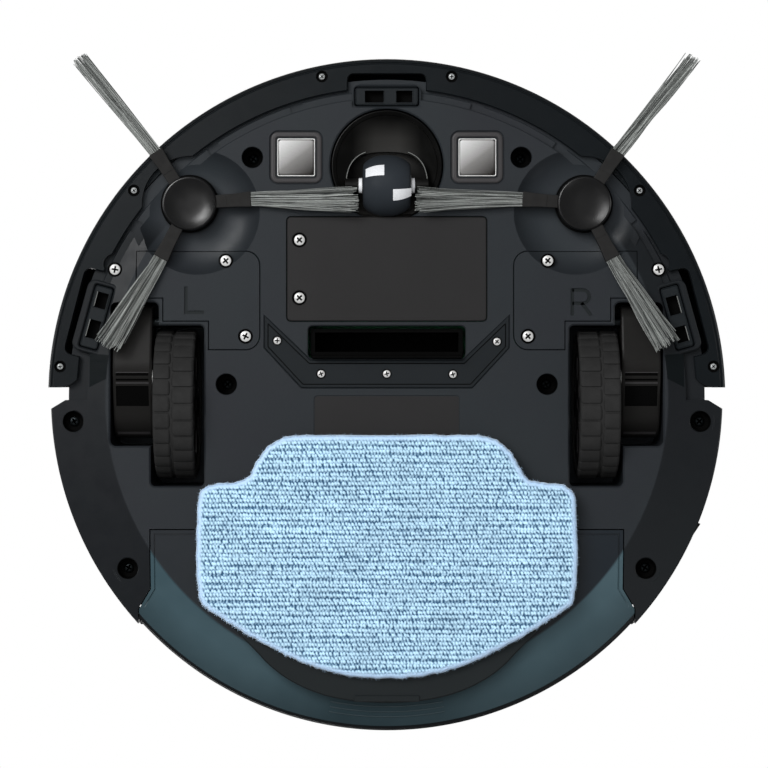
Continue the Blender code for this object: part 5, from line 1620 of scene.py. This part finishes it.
def mop_fringe(outline):
    """Loose fibres along the cloth's rolled edge."""
    rng = random.Random(21)
    verts, faces = [], []
    for i, start in enumerate(outline):
        a, b = Vector(start), Vector(outline[(i + 1) % len(outline)])
        way = (b - a).normalized()
        out = Vector((way.y, -way.x))
        for _ in range(max(1, round((b - a).length / FRINGE_PITCH))):
            root = a.lerp(b, rng.random()) - out * rng.uniform(0.0002, 0.0030)
            reach = out * rng.uniform(0.0004, 0.0011) + way * rng.gauss(0, 0.0006)
            low = 0.0017 + rng.uniform(-0.0002, 0.0004)
            faces += strand_faces(len(verts), 3)
            for share in (0.0, 0.5, 1.0):
                at = root + reach * share
                height = low - 0.0006 * math.sin(share * 2.6) * rng.random()
                thick = 0.000075 * (1 - 0.5 * share)
                for turn in (0, math.tau / 3, math.tau * 2 / 3):
                    side = way * (thick * math.cos(turn))
                    verts.append((at.x + side.x, at.y + side.y, height + thick * math.sin(turn)))
    fibres = made("mop_fringe", verts, faces, weld=0)
    point_values(fibres, "pile", [0.9] * len(verts))
    point_values(fibres, "hem", [1.0] * len(verts))
    piece(fibres, "mop_fringe", CLOTH, "mop", "mop_cloth", sharp=180)


def cloth_grid(outline, grid_x, grid_y):
    """The grid's quads inside the outline, with the outermost points pulled onto it.

    Gives the grid's numbers of the points used, their places, their distances from the outline,
    the quads, and the edges that have a quad on one side only.
    """
    columns, rows = len(grid_x), len(grid_y)
    flat = np.stack(np.meshgrid(grid_x, grid_y), -1).reshape(-1, 2)
    far, foot, inside = distance_to(outline, flat)
    good = (inside & (far > MOP_CELL * 0.3)).reshape(rows, columns)
    cells = good[:-1, :-1] & good[1:, :-1] & good[:-1, 1:] & good[1:, 1:]
    index = np.arange(rows * columns).reshape(rows, columns)
    quads = np.stack([index[:-1, :-1], index[:-1, 1:], index[1:, 1:], index[1:, :-1]], -1)[cells]
    used, quads = np.unique(quads, return_inverse=True)
    quads = quads.reshape(-1, 4)
    edges = np.concatenate([quads[:, [i, (i + 1) % 4]] for i in range(4)])
    _, back, count = np.unique(np.sort(edges, 1), axis=0, return_inverse=True, return_counts=True)
    rim = edges[count[back.reshape(-1)] == 1]
    plane, depth = flat[used].copy(), far[used].copy()
    on_rim = np.unique(rim)
    plane[on_rim] = foot[used][on_rim]
    depth[on_rim] = 0
    return used, plane, depth, quads, rim


def cloth_height(plane, depth, pile):
    """Height of the cloth's underside: a rolled hem, then loops, with a soft crease across."""
    sag = np.exp(-((plane[:, 1] - CREASE_Y + 0.004 * np.sin(plane[:, 0] * 30)) / 0.0022) ** 2)
    sunk = np.clip((depth - 0.0013) / 0.0016, 0, 1)
    curl = np.sqrt(1 - (1 - np.clip(depth / 0.0019, 0, 1)) ** 2)
    roll = np.clip(np.cos((depth - 0.0018) / HEM * math.pi), 0, 1) * (depth < HEM)
    knots = np.random.default_rng(6).normal(0, 0.00009, len(plane)) * (depth < HEM)
    z = 0.0033 - 0.0018 * curl - 0.0003 * roll + knots * (depth > 0)
    return z - sunk * 0.0011 * pile + 0.0005 * sag * sunk


def mop_cloth():
    """The cloth: loops and a rolled hem below, closed by a flat back."""
    half = [(0, -0.1213), (0.0230, -0.1190), (0.0425, -0.1115), (0.0600, -0.1020), (0.0760, -0.0920),
            (0.0820, -0.0868), (0.0820, -0.0440), (0.0790, -0.0385), (0.0735, -0.0367),
            (0.0625, -0.0360), (0.0585, -0.0330), (0.0560, -0.0270), (0.0510, -0.0200),
            (0.0440, -0.0165), (0.0360, -0.0158)]
    outline = wavy(softened(mirrored(half), 3))
    shape = np.array(outline)
    low, high = shape.min(0) - MOP_CELL, shape.max(0) + MOP_CELL
    grid_x, grid_y = [np.arange(low[i], high[i] + MOP_CELL, MOP_CELL) for i in (0, 1)]
    used, plane, depth, quads, rim = cloth_grid(outline, grid_x, grid_y)
    pile = loops_over(grid_x, grid_y).reshape(-1)[used]
    z = cloth_height(plane, depth, pile)
    hem = 1 - np.clip((depth - 0.0014) / 0.0014, 0, 1)
    follow = {a: b for a, b in rim}
    loop = [int(rim[0, 0])]
    while follow[loop[-1]] != loop[0]:
        loop.append(int(follow[loop[-1]]))
    verts = [(x, y, h) for (x, y), h in zip(plane, z)]
    faces = [tuple(reversed(q)) for q in quads.tolist()]
    ring, centre = loop, shape.mean(0)
    for inset, height in ((0.0004, 0.0046), (0.0012, 0.0054), (0.0020, 0.0057)):
        new = list(range(len(verts), len(verts) + len(loop)))
        for i in loop:
            away = centre - plane[i]
            verts.append((*(plane[i] + away / np.hypot(*away) * inset), height))
        for k in range(len(loop)):
            n = (k + 1) % len(loop)
            faces.append((ring[k], ring[n], new[n], new[k]))
        ring = new
    faces.append(tuple(ring))
    cloth = made("mop_towel", verts, faces, weld=0)
    back = np.ones(len(verts) - len(plane))
    point_values(cloth, "pile", np.concatenate([pile, back]))
    point_values(cloth, "hem", np.concatenate([hem, back]))
    piece(cloth, "mop_towel", CLOTH, "mop", "mop_cloth", "mop_cloth", sharp=180)
    cloth.modifiers.clear()
    pairs = zip(outline, outline[1:] + outline[:1])
    area = 0.5 * abs(sum(a[0] * b[1] - b[0] * a[1] for a, b in pairs))
    size = shape.max(0) - shape.min(0)
    mop_fringe(outline)
    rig.sheet(cloth, flat=(float(size[0]), float(size[1])), held="stretched", rests_on=["mop_plate"],
             area=area)


# ---- the CAD nodes that show as they are ----
KEPT = {
    "battery_pack": BATTERY, "inlet_lip": PIT, "suction_duct": PIT, "mainboard": BOARD,
    "power_switch": RUBBER, "tank_cap": RUBBER, "dust_box": TANK, "dust_filter": FILTER,
    "fan_housing": BLACK, "tank_release_button": RUBBER, "fan_impeller": WHITE,
}
KEPT_PAIRS = {
    "side_brush_gearmotor": STEEL, "bumper_switch": BLACK, "arm_pin": DARK_STEEL,
    "suspension_spring": STEEL, "drive_motor": STEEL, "drive_axle": GEAR, "compound_gear": GEAR,
    "motor_pinion": GEAR,
}


def dress_kept_nodes():
    pairs = {f"{name}_{side}": finish for name, finish in KEPT_PAIRS.items() for side, _ in SIDES}
    for name, finish in {**KEPT, **pairs}.items():
        mesh = frame["nodes"][name].data
        mesh.materials.clear()
        mesh.materials.append(finish)


# ---- studio ----
CAMERA_PLACE = (0.0012, 0.0060, -1.30)
CAMERA_LENS = 142.0
SKY_LIGHT = 0.14
LIGHTS = (  # name, place, what it is aimed at, size, power
    ("soft_front", (0.30, 0.30, -1.90), (0, 0, 0), (1.2, 1.2), 39),
    ("soft_key", (0.78, 0.70, -1.40), (0, 0, 0), (0.6, 0.6), 15),
    ("soft_rear_right", (-0.95, -0.85, -0.75), (0, 0, 0.01), (0.5, 0.5), 1.5),
    ("soft_above", (0.5, -0.7, 1.4), (0, 0, 0.05), (1.2, 1.2), 22),
    ("rim_left", (1.3, 0.1, 0.2), (0, 0, 0.03), (0.5, 1.0), 3),
    ("rim_right", (-1.3, 0.1, 0.2), (0, 0, 0.03), (0.5, 1.0), 3),
)


def emitter(name, place, aim, size, power):
    light = bpy.data.lights.new(name, "AREA")
    light.shape = "RECTANGLE"
    light.size, light.size_y = size
    light.energy = power
    obj = bpy.data.objects.new(name, light)
    obj.location = place
    obj.rotation_euler = (Vector(aim) - Vector(place)).to_track_quat("-Z", "Y").to_euler()
    bpy.context.scene.collection.objects.link(obj)
    return obj


def sky():
    """White to the camera, and dim as a light."""
    world = bpy.data.worlds.new("studio")
    bpy.context.scene.world = world
    world.use_nodes = True
    tree = world.node_tree
    backdrop = tree.nodes["Background"]
    backdrop.inputs["Color"].default_value = (1, 1, 1, 1)
    rays = tree.nodes.new("ShaderNodeLightPath")
    level = tree.nodes.new("ShaderNodeMapRange")
    level.inputs["To Min"].default_value = SKY_LIGHT
    level.inputs["To Max"].default_value = 1.0
    tree.links.new(rays.outputs["Is Camera Ray"], level.inputs["Value"])
    tree.links.new(level.outputs["Result"], backdrop.inputs["Strength"])


def pale_floor():
    """A plain pale floor, clear from below because the camera looks up through it, with no shadow."""
    f = Finish("studio_floor")
    f.shade(Base_Color=f.mix(f.spread(f.noise(8, 3), 0, 1), (0.86, 0.86, 0.86), (0.82, 0.82, 0.82)),
            Roughness=f.spread(f.noise(40, 3), 0.55, 0.7))
    clear = f.node("ShaderNodeBsdfTransparent")
    side = f.node("ShaderNodeNewGeometry")
    blend = f.node("ShaderNodeMixShader")
    f.link(side.outputs["Backfacing"], blend.inputs[0])
    f.link(f.shader.outputs[0], blend.inputs[1])
    f.link(clear.outputs[0], blend.inputs[2])
    f.link(blend.outputs[0], f.tree.nodes["Material Output"].inputs["Surface"])
    corners = [(-15, -15, 0), (15, -15, 0), (15, 15, 0), (-15, 15, 0)]
    floor = made("studio_floor", corners, [(0, 1, 2, 3)])
    if floor.data.polygons[0].normal.z < 0:
        floor.data.flip_normals()
    floor.data.materials.append(f.material)
    for ray in ("shadow", "diffuse", "glossy", "transmission"):
        setattr(floor, f"visible_{ray}", False)
    return floor


def studio():
    sky()
    floor = pale_floor()
    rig.stage(floor)
    for light in LIGHTS:
        emitter(*light).visible_glossy = light[0] != "soft_front"

    camera = bpy.data.cameras.new("camera")
    camera.lens = CAMERA_LENS
    camera.clip_start, camera.clip_end = 0.05, 50
    eye = bpy.data.objects.new("camera", camera)
    eye.location = CAMERA_PLACE
    eye.rotation_euler = (0, math.pi, 0)
    bpy.context.scene.collection.objects.link(eye)
    bpy.context.scene.camera = eye
    bpy.context.scene.view_settings.view_transform = "Standard"


def build():
    piece(belly(), "belly", CHASSIS, "chassis", "chassis", "base_plate", sharp=12)
    covers()
    side_facets()
    label_plate()
    screws()
    bumper()
    shell()
    lid_and_button()
    contacts()
    cliff_sensors()
    inlet()
    caster()
    for name, side in SIDES:
        drive_arm(name, side)
        wheel(name, side)
        brush_hub(name, side)
        brush_bristles(name, side)
    tank()
    mop_holder()
    mop_cloth()
    dress_kept_nodes()
    studio()


build()
with open("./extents.json", "w") as out:
    json.dump({"load": size_at_load, "finish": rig.bounds()}, out, default=lambda v: [float(x) for x in v])
